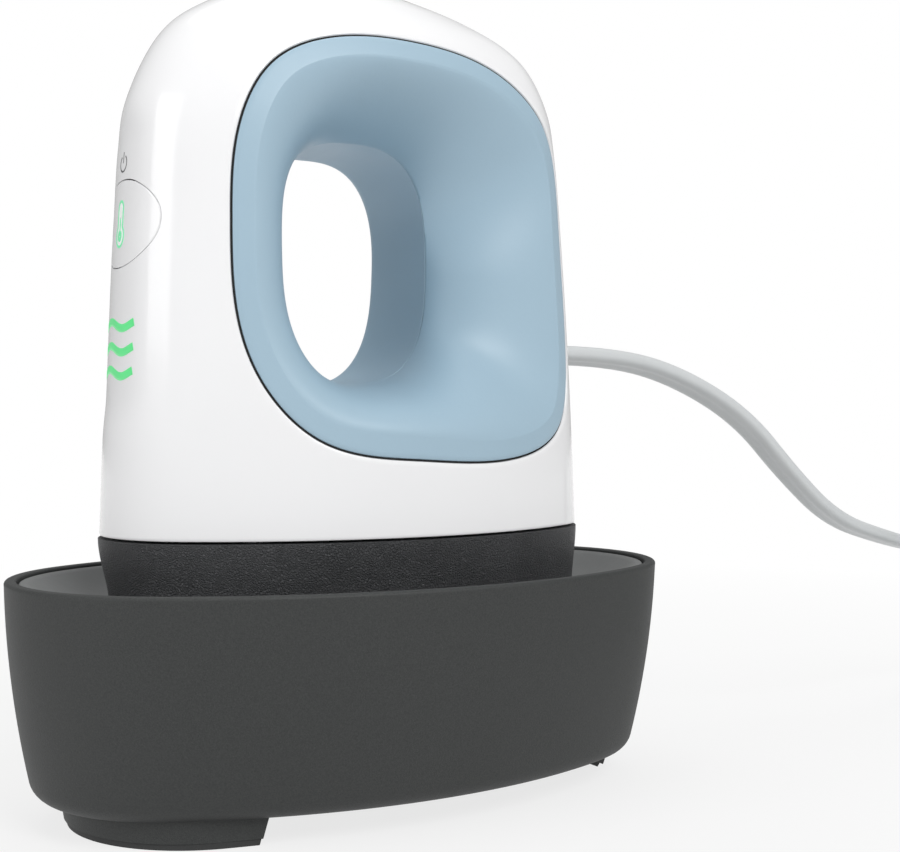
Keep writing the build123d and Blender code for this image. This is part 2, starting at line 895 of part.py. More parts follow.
plate_standoffs = []
plate_screws = []
for x, y in standoff_places:
    tube = rod_z(standoff_radius, x, y, plate_top_z, flange_z)
    plate_standoffs.append(tube - rod_z(screw_radius + screw_gap, x, y, plate_top_z, flange_z))
    plate_screws.append(
        screw_up(
            screw_radius,
            screw_head_radius,
            screw_head_height,
            x,
            y,
            collar_top_z,
            plate_top_z - plate_screw_depth + 0.2,
        )
    )

board_fit = collar_wall + inner_gap
insulation_board = extrude(collar_oval(insulation_z, board_fit), insulation_thickness)
heat_shield = extrude(collar_oval(shield_z, board_fit + 0.8), shield_thickness)
heat_shield = heat_shield & extrude(collar_oval(insulation_z, board_fit), 20)
for x, y in standoff_places:
    hole = rod_z(standoff_radius + screw_gap, x, y, insulation_z - 1, shield_z + 2)
    insulation_board -= hole
    heat_shield -= hole
for y in (-element_half_spread, element_half_spread):
    hole = rod_z(lead_radius + lead_hole_gap, lead_x, y, insulation_z - 1, shield_z + 2)
    insulation_board -= hole
    heat_shield -= hole

gasket = oval_slab(
    housing_half_length - gasket_inset,
    housing_half_width - gasket_inset,
    housing_end_radius - gasket_inset,
    collar_top_z,
    housing_base_z,
    press_x,
)
gasket -= oval_slab(
    housing_half_length - gasket_inset - gasket_width,
    housing_half_width - gasket_inset - gasket_width,
    housing_end_radius - gasket_inset - gasket_width,
    collar_top_z - 1,
    housing_base_z + 1,
    press_x,
)

pieces["collar"] = collar
pieces["collar_gasket"] = gasket
pieces["plate_standoffs"] = group(plate_standoffs)
pieces["plate_screws"] = group(plate_screws)
pieces["insulation_board"] = insulation_board
pieces["heat_shield"] = heat_shield
pieces["heater_leads"] = group(heater_leads)

# ---------------------------------------------------------------- housing and grips
housing_outer = housing_body(0.0)
housing_inner = housing_body(housing_wall)
housing = housing_outer - housing_inner
tail_wall_x = press_x + housing_half_length * (1 - station_at(cord_exit_z)[1])
wall_inside_x = tail_wall_x - housing_wall - relief_wall_gap
relief_back_x = wall_inside_x - relief_flange_thickness
relief_hole = rod_x(relief_radius + screw_gap, 0, cord_exit_z, relief_back_x, cord_exit_x + 4)
relief_hole += rod_x(
    relief_flange_radius + screw_gap, 0, cord_exit_z, relief_back_x - screw_gap, wall_inside_x + screw_gap
)
seat_top_z = cord_exit_z - sleeve_radius - inlay_gap
clamp_seat = box_between(
    (relief_tail_x, -clamp_seat_half_width, seat_top_z - clamp_seat_depth),
    (cord_exit_x, clamp_seat_half_width, seat_top_z),
)
housing += clamp_seat & housing_body(housing_wall / 2)
for x, y in housing_screw_places:
    side = 1 if y > 0 else -1
    boss = rod_z(housing_boss_radius, x, y, housing_base_z, housing_base_z + housing_boss_height)
    rib = box_between(
        (x - 1, min(y, side * housing_half_width), housing_base_z),
        (x + 1, max(y, side * housing_half_width), housing_base_z + housing_boss_height),
    )
    housing += (boss + rib) & housing_body(housing_wall / 2)
    housing -= rod_z(
        screw_radius + screw_gap / 2, x, y, housing_base_z - 1, housing_base_z + housing_boss_height - 1
    )
left_window = side_prism(grip_gap, grip_near_y)
housing -= left_window
housing -= mirror(left_window, Plane.XZ)
housing -= nose_prism(button_half_width + button_gap, button_half_height + button_gap, button_z)
housing -= relief_hole

band = side_prism(0.0, grip_near_y) & (housing_outer - housing_body(grip_wall))
lip = side_prism(grip_lip, grip_near_y) & (
    housing_body(housing_wall + grip_gap) - housing_body(housing_wall + grip_gap + grip_lip_thickness)
)
tube_wall = tunnel(grip_wall, grip_wall) & side_prism(0.0, 0.0) & housing_outer
half_grip = band + lip + tube_wall
half_grip -= tunnel(0.0, 0.0)
zone_x = 2 * housing_half_length
zone_z = housing_base_z + housing_height
neck_zone = box_between((-zone_x, -seam_y + seam_gap / 2, 0), (zone_x, 0, zone_z))
inward_of_seam = box_between((-zone_x, -seam_y - seam_gap / 2, 0), (zone_x, 0, zone_z))
pieces["left_grip"] = half_grip - inward_of_seam
pieces["right_grip"] = mirror(half_grip, Plane.XZ) + (half_grip & neck_zone)

# ---------------------------------------------------------------- lit symbols, button and switch
nose_skin = housing_outer - housing_inner
wave_places = [
    wave_middle_z + wave_pitch * (i - (wave_count - 1) / 2) for i in range(wave_count)
]
wave_windows = []
for z in wave_places:
    housing -= wave_prism(z, inlay_gap)
    wave_windows.append(wave_prism(z, 0.0) & nose_skin)
pieces["housing"] = housing
pieces["heat_wave_windows"] = group(wave_windows)

button_tabs = nose_prism(button_half_width, button_half_height + button_tab, button_z) & box_between(
    (nose_front_x, -button_tab_half_width, button_z - button_half_width),
    (board_front_x, button_tab_half_width, button_z + button_half_width),
)
power_button = nose_prism(button_half_width, button_half_height, button_z) & housing_outer
power_button += button_tabs & housing_body(housing_wall + inner_gap)
power_button -= housing_body(button_depth + inner_gap)
button_back_x = press_x - housing_half_length + button_depth
plunger_tip_x = board_front_x - switch_height - plunger_proud
power_button += rod_x(boss_radius, 0, switch_z, button_back_x, plunger_tip_x - boss_plunger_gap)
power_button -= thermometer_prism(inlay_gap)
thermometer_lens = thermometer_prism(0.0) & (housing_outer - housing_body(button_depth))
pieces["power_button"] = power_button
pieces["thermometer_lens"] = thermometer_lens

switch_body = box_between(
    (board_front_x - switch_height, -switch_size / 2, switch_z - switch_size / 2),
    (board_front_x, switch_size / 2, switch_z + switch_size / 2),
)
bore_end_x = plunger_tip_x + plunger_length + button_travel + 0.2
switch_body -= rod_x(
    plunger_radius + plunger_gap, 0, switch_z, board_front_x - switch_height - 1, bore_end_x
)
switch_plunger = rod_x(plunger_radius, 0, switch_z, plunger_tip_x, plunger_tip_x + plunger_length)
pieces["switch_body"] = switch_body
pieces["switch_plunger"] = switch_plunger

control_board = box_between(
    (board_front_x, -board_half_width, board_bottom_z),
    (board_front_x + board_thickness, board_half_width, board_top_z),
)
carrier_front_x = board_front_x + board_thickness
board_carrier = box_between(
    (carrier_front_x, -carrier_half_width, board_bottom_z - carrier_overlap),
    (carrier_front_x + carrier_thickness, carrier_half_width, board_top_z + carrier_overlap),
)
board_carrier = board_carrier & housing_body(housing_wall + inner_gap)
board_screws = []
for y in (-board_half_width + board_screw_edge, board_half_width - board_screw_edge):
    for z in (board_bottom_z + board_screw_edge, board_top_z - board_screw_edge):
        hole = rod_x(
            small_screw_radius + screw_gap / 2, y, z, board_front_x, carrier_front_x + carrier_thickness
        )
        control_board -= hole
        board_carrier -= hole
        shank = rod_x(small_screw_radius, y, z, board_front_x, carrier_front_x + carrier_thickness)
        head = rod_x(small_head_radius, y, z, board_front_x - small_head_height, board_front_x)
        board_screws.append(shank + head)



def lamp_at(z):
    return box_between(
        (board_front_x - led_size, -led_half_width, z - led_size / 2),
        (board_front_x, led_half_width, z + led_size / 2),
    )


leds = []
for z in wave_places:
    leds.append(lamp_at(z))
leds.append(lamp_at(button_lamp_z))
guide_low_z = wave_places[0] - wave_pitch / 2 - light_guide_margin
guide_high_z = wave_places[-1] + wave_pitch / 2 + light_guide_margin
light_guide = box_between(
    (nose_front_x, -wave_half_width - light_guide_wall, guide_low_z),
    (board_front_x, wave_half_width + light_guide_wall, guide_high_z),
)
light_guide = light_guide & housing_body(housing_wall + inner_gap)
for z in wave_places:
    light_guide -= box_between(
        (nose_front_x, -wave_half_width, z - light_slot_half_height),
        (board_front_x + 1, wave_half_width, z + light_slot_half_height),
    )
chips = []
for height, low_y, low_z, high_y, high_z in board_chips:
    chips.append(box_between((board_front_x - height, low_y, low_z), (board_front_x, high_y, high_z)))
pieces["control_board"] = control_board
pieces["control_board_chips"] = group(chips)
pieces["board_carrier"] = board_carrier
pieces["board_screws"] = group(board_screws)
pieces["indicator_lamps"] = group(leds)
pieces["light_guide"] = light_guide

# ---------------------------------------------------------------- power board
power_board = box_between(
    (press_x - power_board_half_length, -power_board_half_width, power_board_z),
    (press_x + power_board_half_length, power_board_half_width, power_board_top_z),
)
power_board_screws = []
for x, y in board_post_places:
    power_board -= rod_z(small_screw_radius + screw_gap, x, y, power_board_z - 1, power_board_top_z + 1)
    power_board_screws.append(
        screw_up(
            small_screw_radius,
            small_head_radius,
            small_head_height,
            x,
            y,
            power_board_top_z,
            collar_top_z + 0.3,
        )
    )
top_z = power_board_top_z
block_x = press_x + terminal_block_x
block_top_z = top_z + terminal_block_height
power_parts = [
    box_between((press_x + low_x, low_y, top_z), (press_x + high_x, high_y, top_z + height))
    for low_x, low_y, high_x, high_y, height in power_board_blocks
]
power_parts.append(
    rod_z(capacitor_radius, press_x + capacitor_x, capacitor_y, top_z, top_z + capacitor_height)
)
power_parts.append(
    box_between(
        (block_x - terminal_block_half_length, -terminal_block_half_width, top_z),
        (block_x + terminal_block_half_length, terminal_block_half_width, block_top_z),
    )
)
pieces["power_board"] = power_board
pieces["power_board_parts"] = group(power_parts)
pieces["power_board_screws"] = group(power_board_screws)

# housing screws, from under the collar's flange up into the housing's bosses
pieces["housing_screws"] = group(
    [
        screw_up(
            screw_radius,
            screw_head_radius,
            screw_head_height,
            x,
            y,
            flange_z,
            housing_base_z + housing_boss_height - 1.4,
        )
        for x, y in housing_screw_places
    ]
)

# ---------------------------------------------------------------- cord entry
tip_start_x = tail_wall_x + relief_proud
strain_relief = rod_x(relief_radius, 0, cord_exit_z, relief_back_x, tip_start_x)
strain_relief += rod_x(relief_flange_radius, 0, cord_exit_z, relief_back_x, wall_inside_x)
strain_relief += rod_x(sleeve_radius, 0, cord_exit_z, relief_tail_x + clamp_gap, wall_inside_x)
tip = Pos((tip_start_x + cord_exit_x) / 2, 0, cord_exit_z) * Rot(0, 90, 0) * Cone(
    relief_radius, relief_tip_radius, cord_exit_x - tip_start_x
)
strain_relief += tip
clamp_bar_z = cord_exit_z + sleeve_radius
clamp_x = (relief_tail_x + relief_back_x) / 2
clamp_half = (relief_back_x - relief_tail_x) / 2 - clamp_gap
cord_clamp = box_between(
    (clamp_x - clamp_half, -clamp_seat_half_width, seat_top_z + clamp_gap),
    (clamp_x + clamp_half, clamp_seat_half_width, clamp_bar_z + clamp_bar_height),
)
saddle_radius = sleeve_radius + inlay_gap
cord_clamp -= rod_x(saddle_radius, 0, cord_exit_z, relief_tail_x, relief_back_x)
cord_clamp -= box_between(
    (relief_tail_x, -saddle_radius, seat_top_z),
    (relief_back_x, saddle_radius, cord_exit_z),
)
pieces["strain_relief"] = strain_relief
pieces["cord_clamp"] = cord_clamp

clamp_screws = []
for y in (-clamp_seat_half_width + clamp_screw_edge, clamp_seat_half_width - clamp_screw_edge):
    shank_low = seat_top_z - clamp_seat_depth + 1
    pieces["cord_clamp"] -= rod_z(
        small_screw_radius + screw_gap, clamp_x, y, seat_top_z, clamp_bar_z + clamp_bar_height + 1
    )
    pieces["housing"] -= rod_z(small_screw_radius + screw_gap / 2, clamp_x, y, shank_low, seat_top_z + 0.2)
    clamp_screws.append(
        screw_up(
            small_screw_radius,
            small_head_radius,
            small_head_height,
            clamp_x,
            y,
            clamp_bar_z + clamp_bar_height,
            shank_low + 0.2,
        )
    )
pieces["cord_clamp_screws"] = group(clamp_screws)

supply_leads = []
for y in (-lead_offset, lead_offset):
    points = [
        (relief_tail_x + clamp_gap, y, cord_exit_z),
        (block_x, y, cord_exit_z),
        (block_x, y, block_top_z),
    ]
    path = FilletPolyline(*points, radius=lead_bend)
    supply_leads.append(sweep(Plane(origin=path @ 0, z_dir=path % 0) * Circle(lead_radius), path=path))
pieces["supply_leads"] = group(supply_leads)

# ---------------------------------------------------------------- free cord, coil, tie and plug
power_cord, free_length = cord_tube("power_cord", cord_route, cord_radius)
cord_tail, tail_length = cord_tube("cord_tail", tail_route, cord_radius)
coil_length = 2 * math.pi * coil_middle_radius * coil_lanes * coil_layers
print("cord length", round(free_length + coil_length + tail_length, 1))
coil_height = coil_layers * cord_width
coil_section = RectangleRounded(2 * coil_side, coil_height, cord_radius * 0.98)
coil_section = Plane.XZ * Pos(coil_middle_radius, coil_base_z + coil_height / 2) * coil_section
cord_coil = Pos(coil_centre_x, coil_centre_y, 0) * revolve(coil_section, Axis.Z)
tie_outer = Pos(coil_middle_radius, 0, (coil_height + 2.2 * tie_thickness) / 2) * Box(
    2 * (coil_side + tie_gap + tie_thickness), tie_width, coil_height + 2.2 * tie_thickness
)
tie_inner = Pos(coil_middle_radius, 0, coil_base_z + (coil_height + 0.1 * tie_thickness) / 2) * Box(
    2 * (coil_side + tie_gap), tie_width + 2, coil_height + 0.1 * tie_thickness
)
cord_tie = Pos(coil_centre_x, coil_centre_y, 0) * Rot(0, 0, tie_angle) * (tie_outer - tie_inner)

plug_y = tail_route[-1][1]
plug_front_x = plug_rear_x - plug_length


def plug_section(x, width, thickness, corner):
    return Plane(origin=(x, plug_y, plug_thickness / 2), z_dir=(-1, 0, 0)) * RectangleRounded(
        thickness, width, corner
    )


plug_body = loft(
    [
        plug_section(plug_rear_x, plug_tail_width, plug_tail_thickness, 3.0),
        plug_section(plug_rear_x - plug_length * 0.4, plug_width * 0.62, plug_thickness * 0.78, 4.0),
        plug_section(plug_rear_x - plug_length * 0.8, plug_width * 0.96, plug_thickness * 0.98, 4.0),
        plug_section(plug_front_x, plug_width, plug_thickness, 4.0),
    ]
)
blades = [
    Pos(plug_front_x - blade_length / 2, plug_y + side * blade_spacing / 2, plug_thickness / 2)
    * Box(blade_length, blade_thickness, blade_width)
    for side in (-1, 1)
]
pieces["power_cord"] = power_cord
pieces["cord_tail"] = cord_tail
pieces["cord_coil"] = cord_coil
pieces["cord_tie"] = cord_tie
pieces["plug_body"] = plug_body
pieces["plug_blades"] = group(blades)

os.makedirs("parts", exist_ok=True)
for name, piece in pieces.items():
    solids = piece.solids()
    shape = solids[0] if len(solids) == 1 else Compound(children=list(solids))
    export_step(shape, f"parts/{name}.step")
    print(name, len(solids), round(piece.volume, 1))
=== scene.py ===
"""Mini handheld heat press in its stand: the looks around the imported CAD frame.

Sizes below are millimetres, in the row frame, and mesh() turns them into metres.
"""

import math
from contextlib import contextmanager

import bmesh
import bpy
import numpy as np
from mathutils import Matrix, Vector
from mathutils.bvhtree import BVHTree


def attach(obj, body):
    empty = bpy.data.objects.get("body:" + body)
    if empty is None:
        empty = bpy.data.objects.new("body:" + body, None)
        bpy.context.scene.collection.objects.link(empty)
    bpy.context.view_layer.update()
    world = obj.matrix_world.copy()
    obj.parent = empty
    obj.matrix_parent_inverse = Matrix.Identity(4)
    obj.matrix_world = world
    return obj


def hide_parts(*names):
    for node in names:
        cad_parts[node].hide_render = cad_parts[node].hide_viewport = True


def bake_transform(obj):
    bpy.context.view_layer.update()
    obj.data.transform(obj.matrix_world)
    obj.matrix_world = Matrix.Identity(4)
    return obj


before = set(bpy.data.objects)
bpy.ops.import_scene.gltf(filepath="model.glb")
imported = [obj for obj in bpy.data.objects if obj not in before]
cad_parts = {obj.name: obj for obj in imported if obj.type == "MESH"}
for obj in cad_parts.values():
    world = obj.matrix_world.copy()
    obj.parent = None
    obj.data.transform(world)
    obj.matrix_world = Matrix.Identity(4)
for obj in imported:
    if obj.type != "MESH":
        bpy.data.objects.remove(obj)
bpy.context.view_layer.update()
MM = 0.001


def placed(name, data):
    """A new object in the scene, with this data."""
    made = bpy.data.objects.new(name, data)
    bpy.context.scene.collection.objects.link(made)
    return made


# ---- camera and stage
camera_data = bpy.data.cameras.new("camera")
camera_data.sensor_fit = "HORIZONTAL"
camera_data.sensor_width = 36.0
camera_data.lens = 59.39
camera_data.shift_x = -0.0061
camera_data.shift_y = -0.0164
camera_data.clip_start = 0.01
camera_data.clip_end = 50
camera = placed("camera", camera_data)
camera.location = (-0.1120, -0.2301, 0.0653)
camera.rotation_euler = Vector((0.5, 0.8660254, 0)).to_track_quat("-Z", "Y").to_euler()
bpy.context.scene.camera = camera
bpy.context.scene.view_settings.view_transform = "Standard"


# ---- materials
def add_node(tree, kind, *inputs, **values):
    """A node with its first inputs, and with its settings or inputs by name. A socket is linked, a value is set."""
    made = tree.nodes.new(kind)
    for key, value in (*enumerate(inputs), *values.items()):
        if isinstance(value, bpy.types.NodeSocket):
            tree.links.new(value, made.inputs[key])
        elif isinstance(key, str) and hasattr(made, key):
            setattr(made, key, value)
        else:
            made.inputs[key].default_value = value
    return made


class Nodes:
    """A material's node tree with short calls for the textures used here."""

    def __init__(self, name):
        self.material = bpy.data.materials.new(name)
        self.material.use_nodes = True
        self.tree = self.material.node_tree
        self.shader = self.tree.nodes["Principled BSDF"]
        self.place = self.node("ShaderNodeTexCoord").outputs["Object"]

    def node(self, kind, *inputs, **values):
        return add_node(self.tree, kind, *inputs, **values)

    def noise(self, scale, detail=2.0, roughness=0.5, stretch=None):
        place = self.place
        if stretch:
            place = self.node("ShaderNodeMapping", Scale=stretch, Vector=place).outputs["Vector"]
        values = {"Scale": scale, "Detail": detail, "Roughness": roughness, "Vector": place}
        return self.node("ShaderNodeTexNoise", **values).outputs["Fac"]

    def cells(self, scale, feature="F1"):
        made = self.node("ShaderNodeTexVoronoi", Scale=scale, feature=feature, Vector=self.place)
        return made.outputs["Distance"]

    def ramp(self, value, low, high, low_colour, high_colour):
        made = self.node("ShaderNodeValToRGB", Fac=value)
        stops = made.color_ramp.elements
        for stop, position, colour in zip(stops, (low, high), (low_colour, high_colour)):
            stop.position = position
            stop.color = (*colour, 1)
        return made.outputs["Color"]

    def shades(self, value, low, high, colour, *shares):
        """A ramp between two shares of a colour."""
        return self.ramp(value, low, high, *(tuple(min(1.0, c * share) for c in colour) for share in shares))

    def span(self, value, low, high, to_low, to_high):
        ends = {"From Min": low, "From Max": high, "To Min": to_low, "To Max": to_high}
        return self.node("ShaderNodeMapRange", Value=value, **ends).outputs["Result"]

    def sum(self, a, b):
        return self.node("ShaderNodeMath", a, b, operation="ADD").outputs[0]

    def times(self, a, b):
        return self.node("ShaderNodeMath", a, b, operation="MULTIPLY").outputs[0]

    def done(self, colour, rough, height, distance, strength=1.0, **more):
        """The material with this colour, roughness and height, and more values for its shader."""
        bump = self.node("ShaderNodeBump", Strength=strength, Distance=distance, Height=height)
        for socket, key in ((colour, "Base Color"), (rough, "Roughness"), (bump.outputs["Normal"], "Normal")):
            self.tree.links.new(socket, self.shader.inputs[key])
        for key, value in more.items():
            self.shader.inputs[key.replace("_", " ")].default_value = value
        return self.material


def srgb(r, g, b):
    """A colour of 0-255 values as linear light, by the sRGB curve."""
    return tuple(c / 255 / 12.92 if c / 255 <= 0.04045 else ((c / 255 + 0.055) / 1.055) ** 2.4 for c in (r, g, b))


def moulded(name, colour, rough, spread=0.05, grain=900.0, grain_height=0.00002, cloud=35.0, tone=0.03):
    """Moulded plastic or rubber: fine spark-eroded grain, cloudy tone, rubbed patches in the roughness."""
    n = Nodes(name)
    fine = n.noise(grain, 3.0, 0.6)
    clouds = n.noise(cloud, 4.0, 0.55)
    wear = n.noise(120.0, 5.0, 0.7, (1.0, 1.0, 0.35))
    tint = n.shades(n.sum(clouds, n.times(fine, 0.35)), 0.35, 1.0, colour, 1 - tone, 1 + tone)
    gloss = n.span(n.sum(wear, n.times(fine, 0.5)), 0.4, 1.1, rough - spread, rough + spread)
    return n.done(tint, gloss, fine, grain_height)


def shell_material():
    """Gloss white moulding: very faint orange peel, hairline scuffs in the gloss."""
    n = Nodes("gloss_white")
    peel = n.noise(260.0, 2.0, 0.4)
    scuff = n.noise(300.0, 6.0, 0.75, (0.2, 1.0, 3.0))
    tint = n.ramp(n.noise(18.0, 3.0, 0.5), 0.3, 0.7, srgb(243, 243, 244), srgb(247, 247, 248))
    gloss = n.span(scuff, 0.35, 0.75, 0.16, 0.27)
    return n.done(tint, gloss, peel, 0.000012, 0.6, Coat_Weight=0.35, Coat_Roughness=0.08, IOR=1.46)


def grained_material(name, low, high, rough, cell, height):
    """Moulded leather grain: round cells with creases between them, over fine noise."""
    n = Nodes(name)
    creases = n.span(n.cells(cell, "DISTANCE_TO_EDGE"), 0.0, 0.22, 0.0, 1.0)
    cells = n.cells(cell * 2.3)
    fine = n.noise(cell * 3.0, 3.0, 0.6)
    clouds = n.noise(60.0, 4.0, 0.6)
    tint = n.ramp(n.times(n.sum(fine, clouds), 0.5), 0.36, 0.64, low, high)
    relief = n.sum(n.sum(creases, n.times(cells, -0.5)), n.times(fine, 0.4))
    return n.done(tint, n.span(clouds, 0.3, 0.7, rough - 0.06, rough + 0.06), relief, height)


def speckled_material(name, base, light, rough, scale):
    """Dark heat-proof plastic with a fine pale speckle in its grain."""
    n = Nodes(name)
    fine = n.noise(scale, 2.0, 0.7)
    specks = n.noise(scale * 1.6, 1.0, 0.5)
    clouds = n.noise(22.0, 4.0, 0.55)
    mixed = n.sum(n.times(fine, 0.55), n.sum(n.times(specks, 0.35), n.times(clouds, 0.12)))
    gloss = n.span(clouds, 0.3, 0.7, rough - 0.05, rough + 0.05)
    return n.done(n.ramp(mixed, 0.38, 0.68, base, light), gloss, n.sum(fine, specks), 0.00005, 0.8)


def metal_material(name, colour, rough, stretch=(1.0, 12.0, 1.0), spread=0.1):
    """Metal with drawn or cast lines in its gloss."""
    n = Nodes(name)
    lines = n.noise(500.0, 4.0, 0.6, stretch)
    tint = n.shades(n.noise(60.0, 4.0, 0.6), 0.3, 0.7, colour, 0.93, 1.05)
    return n.done(tint, n.span(lines, 0.3, 0.7, rough - spread, rough + spread), lines, 0.000006, Metallic=1.0)


def fibre_material(name, colour, rough):
    """Pressed fibre board or cloth sleeve: crossed threads in colour and height."""
    n = Nodes(name)
    threads = n.sum(n.noise(700.0, 4.0, 0.6, (0.15, 1.0, 1.0)), n.noise(700.0, 4.0, 0.6, (1.0, 0.15, 1.0)))
    tint = n.shades(threads, 0.75, 1.25, colour, 0.8, 1.08)
    return n.done(tint, n.span(threads, 0.7, 1.3, rough - 0.08, rough + 0.05), threads, 0.00008)


def board_material():
    """Green solder mask over copper tracks."""
    n = Nodes("board_mask")
    tracks = n.node("ShaderNodeTexBrick", Scale=330.0, offset=0.3, Vector=n.place, **{"Mortar Size": 0.05})
    noise = n.noise(200.0, 3.0, 0.5)
    mixed = n.sum(tracks.outputs["Fac"], n.times(noise, 0.3))
    tint = n.ramp(mixed, 0.1, 1.0, srgb(14, 72, 38), srgb(40, 112, 62))
    return n.done(tint, n.span(noise, 0.3, 0.7, 0.28, 0.42), tracks.outputs["Fac"], 0.00003)


def lit_material(name, colour, glow, strength):
    """A translucent window with lamps behind it, a little uneven in its light."""
    n = Nodes(name)
    cloud = n.noise(320.0, 2.0, 0.5)
    n.tree.links.new(n.shades(cloud, 0.3, 0.7, glow, 0.92, 1.0), n.shader.inputs["Emission Color"])
    tint = n.shades(cloud, 0.3, 0.7, colour, 0.94, 1.0)
    return n.done(tint, n.span(cloud, 0.3, 0.7, 0.3, 0.4), cloud, 0.00001, Emission_Strength=strength)


WHITE = shell_material()
BLUE = moulded("satin_blue", srgb(163, 189, 205), 0.42, 0.05, 1400.0, 0.000012, 30.0, 0.015)
COLLAR = grained_material("collar_grain", srgb(56, 57, 59), srgb(80, 81, 83), 0.44, 2500.0, 0.00022)
STAND = speckled_material("stand_speckle", srgb(42, 44, 44), srgb(58, 60, 59), 0.6, 3600.0)
TRAY = moulded("tray_satin", srgb(104, 106, 106), 0.36, 0.06, 1200.0, 0.00002, 40.0, 0.05)
# near-black for the strip behind the grips' gap: painted shade, where the real gap only holds shadow
GAP_SHADE = moulded("painted_gap_shade", srgb(14, 15, 16), 0.8, 0.06, 900.0, 0.00002, 50.0, 0.05)
RUBBER = moulded("rubber_dark", srgb(34, 34, 35), 0.72, 0.06, 700.0, 0.00005, 50.0, 0.08)
SOLE = moulded("sole_rubber", srgb(52, 53, 53), 0.7, 0.06, 700.0, 0.00005, 50.0, 0.08)
MAT = moulded("silicone_mat", srgb(58, 59, 62), 0.6, 0.05, 600.0, 0.00004, 40.0, 0.06)
PLATE = metal_material("plate_coating", srgb(178, 176, 172), 0.36, (1.0, 3.0, 1.0), 0.08)
STEEL = metal_material("plated_steel", srgb(190, 191, 194), 0.3)
BRASS = metal_material("plated_brass", srgb(206, 176, 116), 0.28)
FIBRE = fibre_material("pressed_fibre", srgb(214, 208, 190), 0.88)
SLEEVE = fibre_material("lead_sleeve", srgb(168, 44, 36), 0.7)
CERAMIC = moulded("ceramic", srgb(232, 228, 216), 0.3, 0.05, 500.0, 0.00002, 60.0, 0.04)
BOARD = board_material()
CHIP = moulded("chip_black", srgb(30, 30, 31), 0.48, 0.05, 900.0, 0.00003, 80.0, 0.1)
INNER = moulded("inner_plastic", srgb(186, 187, 188), 0.5, 0.06, 700.0, 0.00003, 50.0, 0.04)
CORD = moulded("cord_pvc", srgb(208, 211, 212), 0.33, 0.05, 500.0, 0.00002, 60.0, 0.03)
TIE = fibre_material("hook_tie", srgb(44, 44, 46), 0.85)
GREEN = lit_material("lit_wave", srgb(86, 205, 126), srgb(92, 225, 134), 0.36)
MINT = lit_material("lit_symbol", srgb(108, 206, 154), srgb(116, 228, 166), 0.38)
PALE = lit_material("lit_white", srgb(244, 248, 246), srgb(244, 250, 247), 0.12)
INK = moulded("printed_ink", srgb(78, 80, 82), 0.5, 0.05, 900.0, 0.00001, 60.0, 0.05)

# the CAD nodes that stay as they are, by material
for look, nodes in (
    (STEEL, "stand_screws heating_element element_clamp clamp_screw thermal_fuse sensor_clips plate_screws"),
    (STEEL, "heat_shield board_screws power_board_screws housing_screws cord_clamp_screws"),
    (STAND, "front_foot rear_foot"),
    (SOLE, "front_foot_pad rear_foot_pad"),
    (MAT, "rest_mat"),
    (PLATE, "heat_plate"),
    (BRASS, "element_terminals plug_blades"),
    (CERAMIC, "thermistor plate_standoffs indicator_lamps"),
    (RUBBER, "collar_gasket"),
    (FIBRE, "insulation_board"),
    (SLEEVE, "heater_leads supply_leads"),
    (CHIP, "switch_body switch_plunger control_board_chips power_board_parts"),
    (BOARD, "control_board power_board"),
    (INNER, "board_carrier light_guide cord_clamp"),
    (CORD, "strain_relief"),
):
    for node in nodes.split():
        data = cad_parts[node].data
        data.materials.clear()
        data.materials.append(look)
        for face in data.polygons:
            face.material_index = 0


# ---- mesh helpers
WELD = 0.000002  # metres


@contextmanager
def edited(data):
    """The mesh as a bmesh, which is written back afterwards."""
    built = bmesh.new()
    built.from_mesh(data)
    yield built
    built.to_mesh(data)
    built.free()


def mesh(name, points, faces, material, body, slot=None, smooth_angle=40.0):
    """An object from points in millimetres, smooth but for edges sharper than smooth_angle."""
    data = bpy.data.meshes.new(name)
    data.from_pydata([tuple(p) for p in np.asarray(points, float) * MM], [], [tuple(f) for f in faces])
    return finish_mesh(name, data, material, body, smooth_angle)


def finish_mesh(name, data, material, body, smooth_angle=40.0):
    """Welds, smooths and places a mesh, then lets it ride on a body."""
    data.validate()
    with edited(data) as built:
        bmesh.ops.remove_doubles(built, verts=built.verts, dist=WELD)
        bmesh.ops.dissolve_degenerate(built, dist=WELD / 2, edges=built.edges)
        for edge in built.edges:
            if len(edge.link_faces) == 2:
                edge.smooth = edge.calc_face_angle(0.0) < math.radians(smooth_angle)
        for face in built.faces:
            face.smooth = True
    data.materials.append(material)
    made = placed(name, data)
    if body:
        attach(made, body)
    return made


def smooth(share):
    """The share from 0 to 1, with a level start and end."""
    share = np.clip(share, 0, 1)
    return share * share * (3 - 2 * share)


def running(parts):
    """Running totals, from 0."""
    return np.concatenate([[0], np.cumsum(parts)])


def travelled(points):
    """The distance along a line of points, at each of them."""
    return running(np.linalg.norm(np.diff(points, axis=0), axis=1))


def around(count):
    """This many angles of one turn."""
    return np.arange(count) * 2 * math.pi / count


def bent(value, power):
    """The value raised to a power, with its sign kept."""
    return math.copysign(abs(value) ** power, value)


EASED = math.radians(16)


